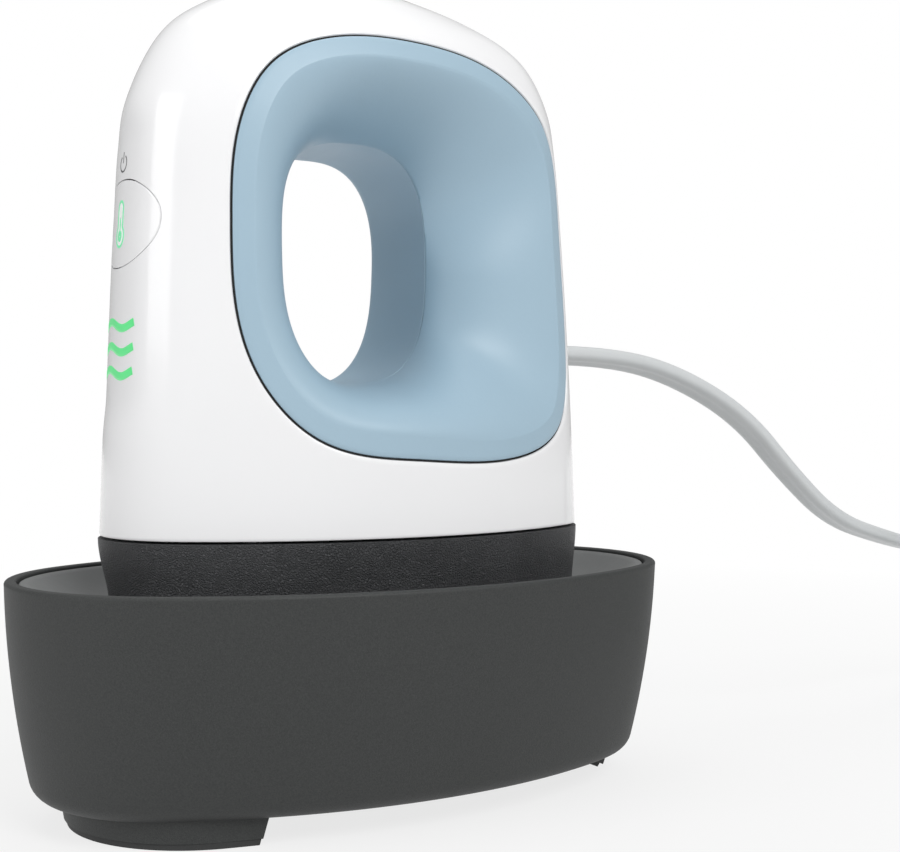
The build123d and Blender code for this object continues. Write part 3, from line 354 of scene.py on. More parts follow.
def oval_loop(half_length, half_width, end_radius, count, centre_x):
    """Points around the four-arc oval with its curvature eased where arcs meet, from +x towards +y."""
    end_x = half_length - end_radius
    side_radius = (end_x**2 + half_width**2 - end_radius**2) / (2 * (half_width - end_radius))
    join = math.atan2(side_radius - half_width, end_x)
    turn = np.linspace(0, math.pi / 2, 721)
    radius = end_radius + (side_radius - end_radius) * smooth((turn - join) / EASED + 0.5)
    along_x, along_y = (
        running((pace[1:] + pace[:-1]) / 2 * turn[1]) for pace in (radius * np.sin(turn), radius * np.cos(turn))
    )
    x = half_length * (1 - along_x / along_x[-1])
    y = half_width * along_y / along_y[-1]
    length = running(np.hypot(np.diff(x), np.diff(y)))
    even = np.linspace(0, 1, count // 4 + 1) * length[-1]
    qx, qy = np.interp(even, length, x), np.interp(even, length, y)
    xs = np.concatenate([qx[:-1], -qx[::-1][:-1], -qx[:-1], qx[::-1][:-1]])
    ys = np.concatenate([qy[:-1], qy[::-1][:-1], -qy[:-1], -qy[::-1][:-1]])
    return np.stack([xs + centre_x, ys], 1)


def grid_faces(rows, columns, closed=True, flip=False):
    """Quads between neighbouring rows of points, also from the last column to the first if closed."""
    faces = []
    for start in range(0, (rows - 1) * columns, columns):
        for j in range(columns if closed else columns - 1):
            a, b = start + j, start + (j + 1) % columns
            quad = (a, b, b + columns, a + columns)
            faces.append(quad[::-1] if flip else quad)
    return faces


RING = 288


def stack_mesh(name, rings, material, body, slot, centre_x=0.0, cap_first=False, cap_last=False):
    """A skin through rings of (half length, half width, end radius, z)."""
    points = []
    for half_length, half_width, end_radius, z in rings:
        loop = oval_loop(half_length, half_width, end_radius, RING, centre_x)
        points.append(np.column_stack([loop, np.full(RING, z)]))
    faces = grid_faces(len(rings), RING)
    if cap_first:
        faces.append(tuple(range(RING))[::-1])
    if cap_last:
        faces.append(tuple(range((len(rings) - 1) * RING, len(rings) * RING)))
    return mesh(name, np.vstack(points), faces, material, body, slot)


def rounded(corner, before, after, radius, steps=5):
    """The arc of a rounded corner in a profile of (inset, z) points."""
    corner, before, after = (np.array(p, float) for p in (corner, before, after))
    to_a = (before - corner) / np.linalg.norm(before - corner)
    to_b = (after - corner) / np.linalg.norm(after - corner)
    half = math.acos(np.clip(to_a @ to_b, -1, 1)) / 2
    reach = radius / math.tan(half)
    middle = corner + (to_a + to_b) / np.linalg.norm(to_a + to_b) * radius / math.sin(half)
    start = corner + to_a * reach - middle
    end = corner + to_b * reach - middle
    chord = [start * (1 - i / steps) + end * (i / steps) for i in range(steps + 1)]
    return [tuple(middle + point / np.linalg.norm(point) * radius) for point in chord]


def profile_points(corners):
    """A profile from corners (inset, z, radius), with straight runs between the rounded corners."""
    made = [corners[0][:2]]
    for before, corner, after in zip(corners, corners[1:], corners[2:]):
        if corner[2] > 0:
            made += rounded(corner[:2], before[:2], after[:2], corner[2])
        else:
            made.append(corner[:2])
    made.append(corners[-1][:2])
    return made


# ---- stand
RIM_Z, FOOT_Z, BULGE, EDGE = 38.7, 4.3, 0.95, 3.0
RIM = (57.8, 37.0, 29.8)
BASE = (53.4, 29.2, 22.0)
WALL, OUTER_ROUND, INNER_ROUND = 1.9, 0.55, 0.4
TRAY_GAP, TRAY_DROP, TRAY_ROUND = 0.3, 0.5, 0.45
PRESS_X = -0.1
COLLAR_TOP_SIZE = (43.2, 25.2, 17.8)
COLLAR_LOW_SIZE = (41.9, 24.1, 17.3)


def stand_oval(z, inset):
    """The stand's outer oval at a height, drawn in by inset."""
    share = (z - FOOT_Z) / (RIM_Z - FOOT_Z)
    out = BULGE * 4 * share * (1 - share) - inset
    return tuple(b + share * (r - b) + out for b, r in zip(BASE, RIM)) + (z,)


def wider(size, by):
    return tuple(v + by for v in size)


def between(a, b, t):
    return tuple(x + (y - x) * t for x, y in zip(a, b))


# the underside, the round at its edge, the side, then the rim and the wall inside it
shell_rings = [stand_oval(FOOT_Z, EDGE + 14), stand_oval(FOOT_Z, EDGE + 6)]
for a in np.radians(np.linspace(0, 90, 10)):
    shell_rings.append(stand_oval(FOOT_Z + EDGE * (1 - math.cos(a)), EDGE * (1 - math.sin(a))))
for z in np.linspace(FOOT_Z + EDGE, RIM_Z - 1.2, 16)[1:]:
    shell_rings.append(stand_oval(z, 0.0))
rim_corners = [(0.0, RIM_Z - 1.0, 0), (0.0, RIM_Z, OUTER_ROUND), (WALL, RIM_Z, INNER_ROUND)]
rim_corners += [(WALL, RIM_Z - 3.2, 0), (WALL + 0.4, RIM_Z - 9, 0)]
for inset, z in profile_points(rim_corners):
    on_the_side = inset < 0.1 and z < RIM_Z - 0.6
    shell_rings.append(stand_oval(z if on_the_side else RIM_Z, inset)[:3] + (z,))
stand_skin = stack_mesh("stand_shell_skin", shell_rings, STAND, "stand", "stand_dark", cap_first=True)
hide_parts("stand_shell")

# the tray falls in a shallow curve from its lip to the mouth of the well that the press stands in
tray_top = RIM_Z - TRAY_DROP
tray_outer = wider(RIM, -WALL - TRAY_GAP)
tray_lip = wider(tray_outer, -1.2)
mouth, mouth_z = wider(COLLAR_TOP_SIZE, 2.2), tray_top - 4.2
well, well_z = (43.3, 25.8, 19.4), 13.6
SAG = 0.55
tray_rings = [wider(tray_outer, -0.35) + (tray_top - 3.5,)]
for a in np.radians((0, 30, 60, 90)):
    rise = TRAY_ROUND * (math.sin(a) - 1)
    tray_rings.append(wider(tray_outer, TRAY_ROUND * (math.cos(a) - 1)) + (tray_top + rise,))
for t in np.linspace(0, 1, 14):
    z = tray_top + (mouth_z - tray_top) * t - SAG * math.sin(math.pi * t)
    tray_rings.append(between(tray_lip, mouth, t) + (z,))
for t, drop in ((0.08, 0.5), (0.2, 0), (0.5, 0), (0.8, 0), (1.0, 0)):
    tray_rings.append(between(mouth, well, t) + (mouth_z + (well_z - mouth_z) * t - drop,))
tray_rings.append(wider(well, -6) + (well_z,))
liner_skin = stack_mesh("stand_liner_skin", tray_rings, TRAY, "stand", "tray_dark", PRESS_X / 2, cap_last=True)
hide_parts("stand_liner")

# ---- collar
COLLAR_TOP, TAPER_LOW, COLLAR_LOW, COLLAR_ROUND = 45.05, 34.0, 19.0, 0.14
NOSE_TAPER = 0.4


def collar_size(z, inset):
    t = smooth((z - TAPER_LOW) / (COLLAR_TOP - TAPER_LOW))
    return wider(between(COLLAR_LOW_SIZE, COLLAR_TOP_SIZE, t), -inset) + (z,)


collar_rings = [collar_size(COLLAR_LOW + 3, 2.0), collar_size(COLLAR_LOW, 2.0), collar_size(COLLAR_LOW, 0.4)]
collar_rings.append(collar_size(COLLAR_LOW + 0.4, 0.0))
for z in np.linspace(COLLAR_LOW + 0.8, COLLAR_TOP - 0.8, 44):
    collar_rings.append(collar_size(z, 0.0))
collar_corners = [(0.0, COLLAR_TOP - 0.7, 0), (0.0, COLLAR_TOP, COLLAR_ROUND), (3.4, COLLAR_TOP, 0)]
for inset, z in profile_points(collar_corners)[1:]:
    collar_rings.append(collar_size(COLLAR_TOP, inset)[:3] + (z,))
collar_skin = stack_mesh("collar_skin", collar_rings, COLLAR, "press", "collar_dark", PRESS_X)
for vertex in collar_skin.data.vertices:  # the nose end tapers more than the tail end
    vertex.co.x += (COLLAR_TOP_SIZE[0] - collar_size(vertex.co.z / MM, 0.0)[0]) * NOSE_TAPER * MM
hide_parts("collar")

# ---- housing: the smooth form that everything lies on
BASE_Z, HEIGHT, HALF_LENGTH, HALF_WIDTH = 46.2, 92.4, 43.0, 25.0
# shares of the height, of the length that nose and tail fall back, of the width, and the end radius per half width
STATIONS = [
    (-0.009, 0.000, 0.000, 1.000, 0.705),
    (0.260, 0.019, 0.023, 0.970, 0.705),
    (0.530, 0.043, 0.060, 0.915, 0.710),
    (0.700, 0.070, 0.092, 0.850, 0.730),
    (0.775, 0.117, 0.119, 0.786, 0.740),
    (0.850, 0.195, 0.197, 0.686, 0.750),
    (0.892, 0.269, 0.290, 0.596, 0.750),
    (0.936, 0.415, 0.495, 0.458, 0.750),
    (0.968, 0.569, 0.737, 0.327, 0.740),
    (0.990, 0.718, 0.948, 0.186, 0.730),
    (1.000, 0.876, 1.121, 0.004, 0.720),
]


def smooth_through(points, count):
    """A centripetal Catmull-Rom curve through points of any dimension, sampled evenly along it."""
    points = np.asarray(points, float)
    p = np.vstack([2 * points[0] - points[1], points, 2 * points[-1] - points[-2]])
    t = running(np.maximum(np.linalg.norm(np.diff(p, axis=0), axis=1), 1e-6) ** 0.5)

    def at(s, low, high, a, b):
        """The value at s on the line from a at t[low] to b at t[high]."""
        return (t[high] - s) / (t[high] - t[low]) * a + (s - t[low]) / (t[high] - t[low]) * b

    made = []
    for i in range(1, len(p) - 2):
        for s in np.linspace(t[i], t[i + 1], 60, endpoint=i == len(p) - 3):
            a1, a2, a3 = (at(s, k, k + 1, p[k], p[k + 1]) for k in (i - 1, i, i + 1))
            b1, b2 = at(s, i - 1, i + 1, a1, a2), at(s, i, i + 2, a2, a3)
            made.append(at(s, i, i + 1, b1, b2))
    made = np.array(made)
    length = travelled(made)
    even = np.linspace(0, length[-1], count)
    return np.stack([np.interp(even, length, made[:, k]) for k in range(made.shape[1])], 1)


# the flatter face of the nose: how far back, how round, and the heights over which it comes and goes
NOSE_FLAT, NOSE_RADIUS = 0.8, 34.0
FLAT_LOW, FLAT_LOW_RUN, FLAT_HIGH, FLAT_HIGH_RUN = 50.0, 18.0, 124.0, 16.0
FLAT_BLEND, FLAT_LIFT, FLAT_AWAY = 0.7, 0.07, 3.0


def flattened(x, y, front, z):
    """The nose set back a little, so that its face is flatter where the controls are."""
    rise = smooth(np.clip((z - FLAT_LOW) / FLAT_LOW_RUN, 0, 1) * np.clip((FLAT_HIGH - z) / FLAT_HIGH_RUN, 0, 1))
    face = front + NOSE_FLAT * rise + y * y / (2 * NOSE_RADIUS) - FLAT_AWAY * (1 - rise)
    return 0.5 * (x + face + np.sqrt((x - face) ** 2 + FLAT_BLEND**2)) - FLAT_LIFT * rise


station_values = []
for share, nose, tail, width, end in STATIONS:
    front = PRESS_X - HALF_LENGTH * (1 - nose)
    rear = PRESS_X + HALF_LENGTH * (1 - tail)
    side = HALF_WIDTH * width
    station_values.append((BASE_Z + share * HEIGHT, front, rear, side, side * end))
FORM_ROWS, FORM_RING, SKIRT = 420, 480, 2.0
form_rings = []
for z, front, rear, side, end in smooth_through(station_values, FORM_ROWS):
    half = max((rear - front) / 2, 0.02)
    side = min(max(side, 0.01), half * 0.98)
    end = min(max(end, side * 0.6), side * 0.97)
    loop = oval_loop(half, side, end, FORM_RING, (front + rear) / 2)
    loop[:, 0] = flattened(loop[:, 0], loop[:, 1], front, z)
    form_rings.append(np.column_stack([loop, np.full(FORM_RING, z)]))
edge_ring = form_rings[1]
form_rings.insert(0, form_rings[0] - np.array([0, 0, SKIRT]))  # rays just above the edge land on this skirt
form_points = np.vstack(form_rings)
form_faces = grid_faces(len(form_rings), FORM_RING)
form_faces.append(tuple(range(len(form_points) - FORM_RING, len(form_points))))
form_tree = BVHTree.FromPolygons([Vector(p) for p in form_points], form_faces)
CENTRE = (0.5, 90.0)
NUDGES = (0.0, 1e-5, -1e-5, 5e-5)  # a ray that slips between two faces is sent again beside itself


def hit(origin, direction):
    """The form's point in this direction from a place inside it, and its outward normal."""
    for nudge in NUDGES:
        aim = Vector(direction) + Vector((nudge, -nudge, nudge))
        place, normal, _, _ = form_tree.ray_cast(Vector(origin), aim.normalized())
        if place is not None:
            break
    if normal.dot(Vector(direction)) < 0:
        normal = -normal
    return np.array(place), np.array(normal)


def out_from_centre(angle, lift):
    """The form's point in the direction of a side-view angle, lifted off the middle plane towards -y."""
    direction = (math.cos(angle) * math.cos(lift), -math.sin(lift), math.sin(angle) * math.cos(lift))
    return hit((CENTRE[0], 0.0, CENTRE[1]), direction)


def on_side(x, z):
    """The form's point beside x, z on the -y side, and its outward normal."""
    return hit((x, 0.0, z), (0, -1, 0))


def beneath(x, z, depth):
    """The form's point beside x, z on the -y side, sunk by depth."""
    place, normal = on_side(x, z)
    return place - normal * depth


def on_nose(y, z, lift=0.0):
    """The form's point on the nose in front of y, z, raised by lift."""
    place, normal, _, _ = form_tree.ray_cast(Vector((-100.0, y, z)), Vector((1, 0, 0)))
    if normal.x > 0:
        normal = -normal
    return np.array(place) + np.array(normal) * lift


# ---- grip outline
OUTLINE = [
    (-28.2, 95.0), (-26.4, 110.6), (-20.4, 120.4), (-10.5, 124.9),
    (3.7, 125.7), (22.6, 121.8), (33.4, 112.0), (35.9, 95.0),
    (36.7, 77.4), (33.4, 63.2), (20.0, 57.6), (0.0, 57.7),
    (-15.9, 60.8), (-24.9, 70.9),
]
HOLE = (-1.8, 90.3)
HOLE_X, HOLE_Z, HOLE_SQUARE = 14.3, 20.2, 2.8
BAND, GRIP_GAP = 3.3, 0.28
SEAM_Y = 3.7


def periodic_spline(points, count):
    """A closed cubic spline through points, by chord length."""
    points = np.asarray(points, float)
    n = len(points)
    here = np.arange(n)
    chords = np.roll(points, -1, 0) - points
    after = np.linalg.norm(chords, axis=1)
    before = np.roll(after, 1)
    slopes = chords / after[:, None]
    system = np.diag(2 * (before + after))
    system[here, here - 1] = after
    system[here, (here + 1) % n] = before
    right = 3 * (after[:, None] * np.roll(slopes, 1, 0) + before[:, None] * slopes)
    tangent = np.linalg.solve(system, right)
    t = np.linspace(0, 1, count // n, endpoint=False)[:, None]
    pieces = [
        (2 * t**3 - 3 * t**2 + 1) * points[i]
        + (t**3 - 2 * t**2 + t) * after[i] * tangent[i]
        + (-2 * t**3 + 3 * t**2) * points[(i + 1) % n]
        + (t**3 - t**2) * after[i] * tangent[(i + 1) % n]
        for i in range(n)
    ]
    return np.vstack(pieces)


fine_outline = periodic_spline(OUTLINE, 2800)
fine_along = np.roll(fine_outline, -1, 0) - np.roll(fine_outline, 1, 0)
fine_along /= np.linalg.norm(fine_along, axis=1)[:, None]
fine_out = np.stack([-fine_along[:, 1], fine_along[:, 0]], 1)
if ((fine_outline - np.array(CENTRE)) * fine_out).sum() < 0:
    fine_out = -fine_out


def outline_at(angles, grow):
    """The outline grown by grow, at side-view angles around the centre."""
    moved = fine_outline + fine_out * grow - np.array(CENTRE)
    at = np.arctan2(moved[:, 1], moved[:, 0])
    reach = np.hypot(moved[:, 0], moved[:, 1])
    wrapped = (np.asarray(angles) + math.pi) % (2 * math.pi) - math.pi
    r = np.interp(wrapped, at, reach, period=2 * math.pi)
    return np.stack([CENTRE[0] + r * np.cos(wrapped), CENTRE[1] + r * np.sin(wrapped)], 1)


def spaced_angles(count, middle, width, density):
    """Angles around the centre, density times closer together within width of middle."""
    fine = np.linspace(-math.pi, math.pi, 7201)
    away = np.abs((fine - middle + math.pi) % (2 * math.pi) - math.pi)
    weight = 1 + (density - 1) / (1 + np.exp((away - width) / math.radians(2.5)))
    total = running((weight[1:] + weight[:-1]) / 2)
    return np.interp(np.linspace(0, total[-1], count, endpoint=False), total, fine)


# ---- housing skin, with the button's hole
BUTTON_Z, BUTTON_Y_HALF, BUTTON_Z_HALF, BUTTON_GAP = 94.9, 10.4, 6.85, 0.2
bottom_z = BASE_Z - 0.45
angles = spaced_angles(520, math.pi - 0.02, math.radians(24), 3.0)
low_angle, high_angle = (math.atan2(bottom_z - CENTRE[1], edge_ring[k][0] - CENTRE[0]) for k in (FORM_RING // 2, 0))
NEAR = math.radians(7.0)  # the columns close in on the two ends of the lower edge
close_in = NEAR * np.linspace(0, 1, 34) ** 2
for corner, inward in ((low_angle, 1), (high_angle, -1)):
    angles = angles[np.abs(angles - corner) > NEAR]
    angles = np.concatenate([angles, corner + inward * close_in, corner - inward * close_in[1:] * 0.98])
angles = np.sort(angles)
STEPS = 66
EASE = 0.35
BORDER = ((0.0, 1.8), (0.0, EASE), (0.11, 0.1), (EASE, 0.0))  # outwards and inwards of the gap's edge
border_edges = [outline_at(angles, GRIP_GAP + out) for out, _ in BORDER]
start_edge = outline_at(angles, GRIP_GAP + 1.0)
rows = [[] for _ in range(len(BORDER) + STEPS)]
for k, angle in enumerate(angles):
    for row, edge, (_, depth) in zip(rows, border_edges, BORDER):
        row.append(beneath(*edge[k], depth))
    start, _ = on_side(*start_edge[k])
    start_lift = math.atan2(-start[1], math.hypot(start[0] - CENTRE[0], start[2] - CENTRE[1]))
    end_lift = 0.0
    if low_angle < angle < high_angle:
        reach = (bottom_z - CENTRE[1]) / math.sin(angle)
        edge, _ = on_side(CENTRE[0] + reach * math.cos(angle), bottom_z)
        end_lift = math.atan2(-edge[1], reach)
    for row, lift in zip(rows[len(BORDER) :], np.linspace(start_lift, end_lift, STEPS)):
        place, _ = out_from_centre(angle, lift)
        row.append(place)
    if end_lift > 0.0:
        place[2] = bottom_z
    else:
        place[1] = 0.0
half_rows = np.array(rows)
count = len(angles)
GROWN = (BUTTON_Y_HALF + BUTTON_GAP, BUTTON_Z_HALF + BUTTON_GAP)
BUTTON_SQUARE = 2.18


def button_share(y, z, halves):
    """How far y, z lies from the button's middle: 1 on the oval of these half sizes."""
    across = abs(y / halves[0]) ** BUTTON_SQUARE
    return (across + abs(z / halves[1]) ** BUTTON_SQUARE) ** (1 / BUTTON_SQUARE)


# the faces inside the button's hole go, and the points left on its edge are pulled onto the oval
NOSE_SIDE = -25.0
flat = half_rows.reshape(-1, 3)
inside = [p[0] < NOSE_SIDE and button_share(p[1], p[2] - BUTTON_Z, GROWN) < 1 for p in flat]
half_faces = []
snap = set()
for quad in grid_faces(len(half_rows), count):
    held = [q for q in quad if inside[q]]
    if len(held) == 4:
        continue
    snap.update(held)
    half_faces.append(quad)
for q in snap:
    y, z = flat[q][1], flat[q][2] - BUTTON_Z
    grow = 1 / button_share(y, z, GROWN)
    if abs(y) < 1e-6:
        flat[q] = on_nose(0.0, BUTTON_Z + math.copysign(GROWN[1], z))
        flat[q][1] = 0.0
    else:
        flat[q] = on_nose(y * grow, BUTTON_Z + z * grow)
# the lower edge turns in under a small round
END_MIDDLE = 24.0  # the ends of the edge turn around points this far from the middle
low = [(len(half_rows) - 1) * count + k for k in range(count) if low_angle <= angles[k] <= high_angle]
edge_rows = [low]
points = [flat]
for inset, drop in ((0.1, 0.25), (0.35, 0.35), (2.0, 0.35)):
    row = flat[low]
    outward = row - np.column_stack([PRESS_X + np.clip(row[:, 0], -END_MIDDLE, END_MIDDLE), 0 * row[:, 0], row[:, 2]])
    row -= outward / np.maximum(np.linalg.norm(outward, axis=1), 1e-6)[:, None] * inset
    row[:, 2] = bottom_z - drop
    edge_rows.append(range(len(flat) + len(low) * (len(points) - 1), len(flat) + len(low) * len(points)))
    points.append(row)
for upper, lower in zip(edge_rows, edge_rows[1:]):
    for i in range(len(low) - 1):
        half_faces.append((upper[i], upper[i + 1], lower[i + 1], lower[i]))
points = np.vstack(points)
both_points = np.vstack([points, points * np.array([1, -1, 1])])
both_faces = half_faces + [tuple(v + len(points) for v in f[::-1]) for f in half_faces]


def on_hole(co):
    """Whether a point in metres lies on the edge of the button's hole."""
    return co.x / MM < NOSE_SIDE and abs(button_share(co.y / MM, co.z / MM - BUTTON_Z, GROWN) - 1) < 0.02


housing_data = bpy.data.meshes.new("housing_skin")
housing_data.from_pydata([tuple(p) for p in both_points * MM], [], both_faces)
with edited(housing_data) as built:
    bmesh.ops.remove_doubles(built, verts=built.verts, dist=WELD)
    rim = [e for e in built.edges if e.is_boundary and all(on_hole(v.co) for v in e.verts)]
    for depth in (0.12, 1.8):  # the wall of the hole, with a first step that keeps its edge crisp
        made = bmesh.ops.extrude_edge_only(built, edges=rim)["geom"]
        for v in made:
            if isinstance(v, bmesh.types.BMVert):
                v.co.x += depth * MM
        rim = [e for e in made if isinstance(e, bmesh.types.BMEdge)]
    bmesh.ops.recalc_face_normals(built, faces=built.faces)
housing_skin = finish_mesh("housing_skin", housing_data, WHITE, "press")
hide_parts("housing")

# ---- grips
GRIP_RING = 360
grip_angles = np.linspace(-math.pi, math.pi, GRIP_RING, endpoint=False)


def hole_edge(x, z):
    """The hole's edge in the direction of x, z."""
    angle = math.atan2(z - HOLE[1], x - HOLE[0])
    across = abs(math.cos(angle) / HOLE_X) ** HOLE_SQUARE
    up = abs(math.sin(angle) / HOLE_Z) ** HOLE_SQUARE
    reach = (across + up) ** (-1 / HOLE_SQUARE)
    return HOLE[0] + reach * math.cos(angle), HOLE[1] + reach * math.sin(angle)


GRIP_EASE = 0.4
band_insets = [0.0, 0.0, 0.12, GRIP_EASE, 0.9, 1.4, 1.9, 2.4, 2.8, 3.1, BAND]
band_depths = [1.8, GRIP_EASE, 0.12] + [0.0] * 8
band_edges = [outline_at(grip_angles, -inset) for inset in band_insets]
FLAT_STEPS, ROUND_STEPS, SEAM_STEPS = 13, 42, 12
WIDEST_ROUND = 0.97  # of the way from the hole to the crease
SEAM_INSIDE = 0.1  # how far before the seam the round ends
FIRST_OPEN = 0.006  # share of the round that is open already where it starts
SOFT_LOW, SOFT_HIGH, SOFTENINGS = 7, 14, 3  # rows about the crease, and how often they are eased


def grip_columns(seam_depth, start_share, round_reach, overhang):
    """Columns from the band's gap to the seam, which lies at seam_depth on this side of the middle plane.

    The hole runs straight for start_share of its depth, then rounds out over round_reach at most.
    Overhang makes the round above the hole more like a slope.
    """
    columns = []
    for k in range(GRIP_RING):
        column = [beneath(*ring[k], depth) for ring, depth in zip(band_edges, band_depths)]
        crease = column[-1]
        hole_x, hole_z = hole_edge(crease[0], crease[2])
        reach = math.hypot(crease[0] - hole_x, crease[2] - hole_z)
        out = np.array([(crease[0] - hole_x) / reach, 0, (crease[2] - hole_z) / reach])
        mouth = min(round_reach, reach * WIDEST_ROUND)
        inner = np.array([hole_x, 0, hole_z])
        for share in np.linspace(1, 0, FLAT_STEPS + 1)[1:]:
            place = inner + out * (mouth + (reach - mouth) * share)
            place[1] = on_side(place[0], place[2])[0][1] if mouth < reach * WIDEST_ROUND else crease[1]
            column.append(place)
        outer = -column.pop()[1]
        straight = start_share * outer
        seam = max(straight, seam_depth + SEAM_INSIDE)
        # the overhang counts above the hole and to its right, as out[2] and out[0] grow
        above = np.clip((out[2] + 0.1) / 0.75, 0, 1) * np.clip((out[0] + 0.6) / 0.65, 0, 1)
        power = 1 + overhang * smooth(above)
        last_turn = math.asin(((seam - straight) / (outer - straight)) ** (1 / power))
        spent = 1 - math.cos(last_turn) ** power
        for turn in np.linspace(math.pi / 2, last_turn, ROUND_STEPS):
            opened = 1 - max(math.cos(turn), 0.0) ** power
            opened = FIRST_OPEN + (1 - FIRST_OPEN) * max((opened - spent) / (1 - spent), 0.0)
            place = inner + out * mouth * opened
            place[1] = -straight - (outer - straight) * math.sin(turn) ** power
            column.append(place)
        for share in np.linspace(0, 1, SEAM_STEPS)[1:]:
            place = place.copy()
            place[1] = -seam + (seam - seam_depth - 0.06) * share
            column.append(place)
        column.append(place + out * 0.07 + np.array([0, 0.05, 0]))  # the seam's edge turns into the gap
        column = np.array(column)
        for _ in range(SOFTENINGS):
            before, here, after = (column[SOFT_LOW + shift : SOFT_HIGH + shift] for shift in (-1, 0, 1))
            column[SOFT_LOW:SOFT_HIGH] = 0.25 * before + 0.5 * here + 0.25 * after
        columns.append(column)
    return np.array(columns).transpose(1, 0, 2)


def rows_mesh(name, rows, side, *looks):
    """A closed band through rows of points on the -y side, or its mirror image for side 1."""
    rows = np.array(rows)
    faces = grid_faces(rows.shape[0], rows.shape[1], True, side < 0)
    return mesh(name, rows.reshape(-1, 3) * np.array([1, -side, 1]), faces, *looks)


left_rows, right_rows = grip_columns(SEAM_Y, 0.1, 40.0, 0.5), grip_columns(-SEAM_Y, 0.76, 5.0, 0.0)
left_skin = rows_mesh("left_grip_skin", left_rows, -1, BLUE, "press", "grip_blue")
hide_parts("left_grip")
right_skin = rows_mesh("right_grip_skin", right_rows, 1, BLUE, "press", "grip_blue")
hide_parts("right_grip")

# a dark strip behind the gap between grip and housing: painted shade that stands in for the shadow in the gap
gap_shade_rows = []
for grow, depth in ((-0.35, 1.2), (-0.3, 0.34), (GRIP_GAP / 2, 0.3), (GRIP_GAP + 0.3, 0.34), (GRIP_GAP + 0.35, 1.2)):
    gap_shade_rows.append([beneath(x, z, depth) for x, z in outline_at(grip_angles, grow)])
for side, name in ((-1, "left_grip_gap_shade"), (1, "right_grip_gap_shade")):
    rows_mesh(name, gap_shade_rows, side, GAP_SHADE, "press", "rubber_dark")

# ---- button
BUTTON_RING = 160
# share of the button's size, how much wider, and how far back from the nose
button_rings = [(share, 0.0, 0.0) for share in (0.0, 0.12, 0.25, 0.38, 0.5, 0.62, 0.73, 0.83, 0.91, 0.97)]
button_rings += [(1.0, -0.12, 0.0), (1.0, -0.02, 0.04), (1.0, 0.0, 0.14), (1.0, 0.0, 1.9)]
button_points = []
for share, grow, back in button_rings:
    for a in around(BUTTON_RING):
        reach = share / button_share(math.cos(a), math.sin(a), (1.0, 1.0))
        y = (BUTTON_Y_HALF + grow) * reach * math.cos(a)
        z = (BUTTON_Z_HALF + grow) * reach * math.sin(a)
        button_points.append(on_nose(y, BUTTON_Z + z) + np.array([back, 0, 0]))
button_faces = grid_faces(len(button_rings), BUTTON_RING)
button_skin = mesh("power_button_cap", button_points, button_faces, WHITE, "power_button", "shell_white")
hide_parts("power_button")


# ---- symbols, inlaid flush with the nose
SUNK, TURNED = 0.05, 0.04  # an inlay's outermost rows lie under the nose, and turn down over this width


def inlay(name, strips, material, body, slot, lift=0.035):
    """Strips laid on the nose, each of rows of (y, z) points, and whether its rows are closed."""
    points, faces = [], []
    for rows, closed in strips:
        faces += [tuple(v + len(points) for v in f) for f in grid_faces(len(rows), len(rows[0]), closed)]
        for r, row in enumerate(rows):
            points += [on_nose(y, z, -SUNK if r in (0, len(rows) - 1) else lift) for y, z in row]
    made = mesh(name, points, faces, material, body, slot, 180.0)
    with edited(made.data) as built:
        bmesh.ops.recalc_face_normals(built, faces=built.faces)
        if sum(f.normal.x * f.calc_area() for f in built.faces) > 0:
            bmesh.ops.reverse_faces(built, faces=built.faces)
    return made


def ribbon(line, width, closed=False):
    """A strip of this width along a line of (y, z) points."""
    line = np.asarray(line, float)
    along = np.roll(line, -1, 0) - np.roll(line, 1, 0) if closed else np.gradient(line, axis=0)
    along /= np.linalg.norm(along, axis=1)[:, None]
    out = np.stack([-along[:, 1], along[:, 0]], 1)
    half = width / 2
    offsets = (-half, -half + TURNED, -half / 3, half / 3, half - TURNED, half)
    return [(line + out * offset).tolist() for offset in offsets], closed


def upright(low, high, count, width):
    """A straight ribbon up the middle of the nose."""
    return ribbon([(0.0, z) for z in np.linspace(low, high, count)], width)


WAVE_HALF, WAVE_HEIGHT, WAVE_LENGTH, WAVE_THICK = 6.5, 0.6, 11.4, 1.36
WAVE_LEVELS = (78.9, 75.1, 71.35)
waves = []
for z in WAVE_LEVELS:
    ys = np.linspace(-WAVE_HALF, WAVE_HALF, 60)
    waves.append(ribbon([(y, z + WAVE_HEIGHT * math.sin(2 * math.pi * y / WAVE_LENGTH)) for y in ys], WAVE_THICK))
wave_inlay = inlay("heat_wave_inlay", waves, GREEN, "press", "lit_green")
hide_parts("heat_wave_windows")

STEM, BULB, HALF_TALL = 1.35, 1.95, 3.85
LINE_WIDE, MERCURY_WIDE, MERCURY_TOP, MERCURY_BALL, GLASS_UP = 0.48, 0.44, 0.9, 0.95, 2.3


def thermometer_line(shrink):
    """The thermometer's outline drawn in by shrink: a round-ended stem on a bulb."""
    stem, bulb = STEM - shrink, BULB - shrink
    top = BUTTON_Z + HALF_TALL - STEM
    neck = math.asin(stem / bulb)
    fall = bulb_z + bulb * math.cos(neck) - top
    line = [(stem * math.cos(a), top + stem * math.sin(a)) for a in np.linspace(0, math.pi, 19)]
    line += [(-stem, top + fall * t) for t in np.linspace(0.1, 0.95, 9)]
    line += [(-bulb * math.sin(a), bulb_z + bulb * math.cos(a)) for a in np.linspace(neck, 2 * math.pi - neck, 37)]
    line += [(stem, top + fall * t) for t in np.linspace(0.95, 0.1, 9)]
    return line


def disc(z, radius):
    """A round strip about the middle of the nose at z, from its edge inwards."""
    radii = [radius, radius - TURNED] + [max(radius * share, 0.001) for share in (0.75, 0.5, 0.25, 0.0)]
    return [[(r * math.cos(a), z + r * math.sin(a)) for a in around(32)] for r in radii], True


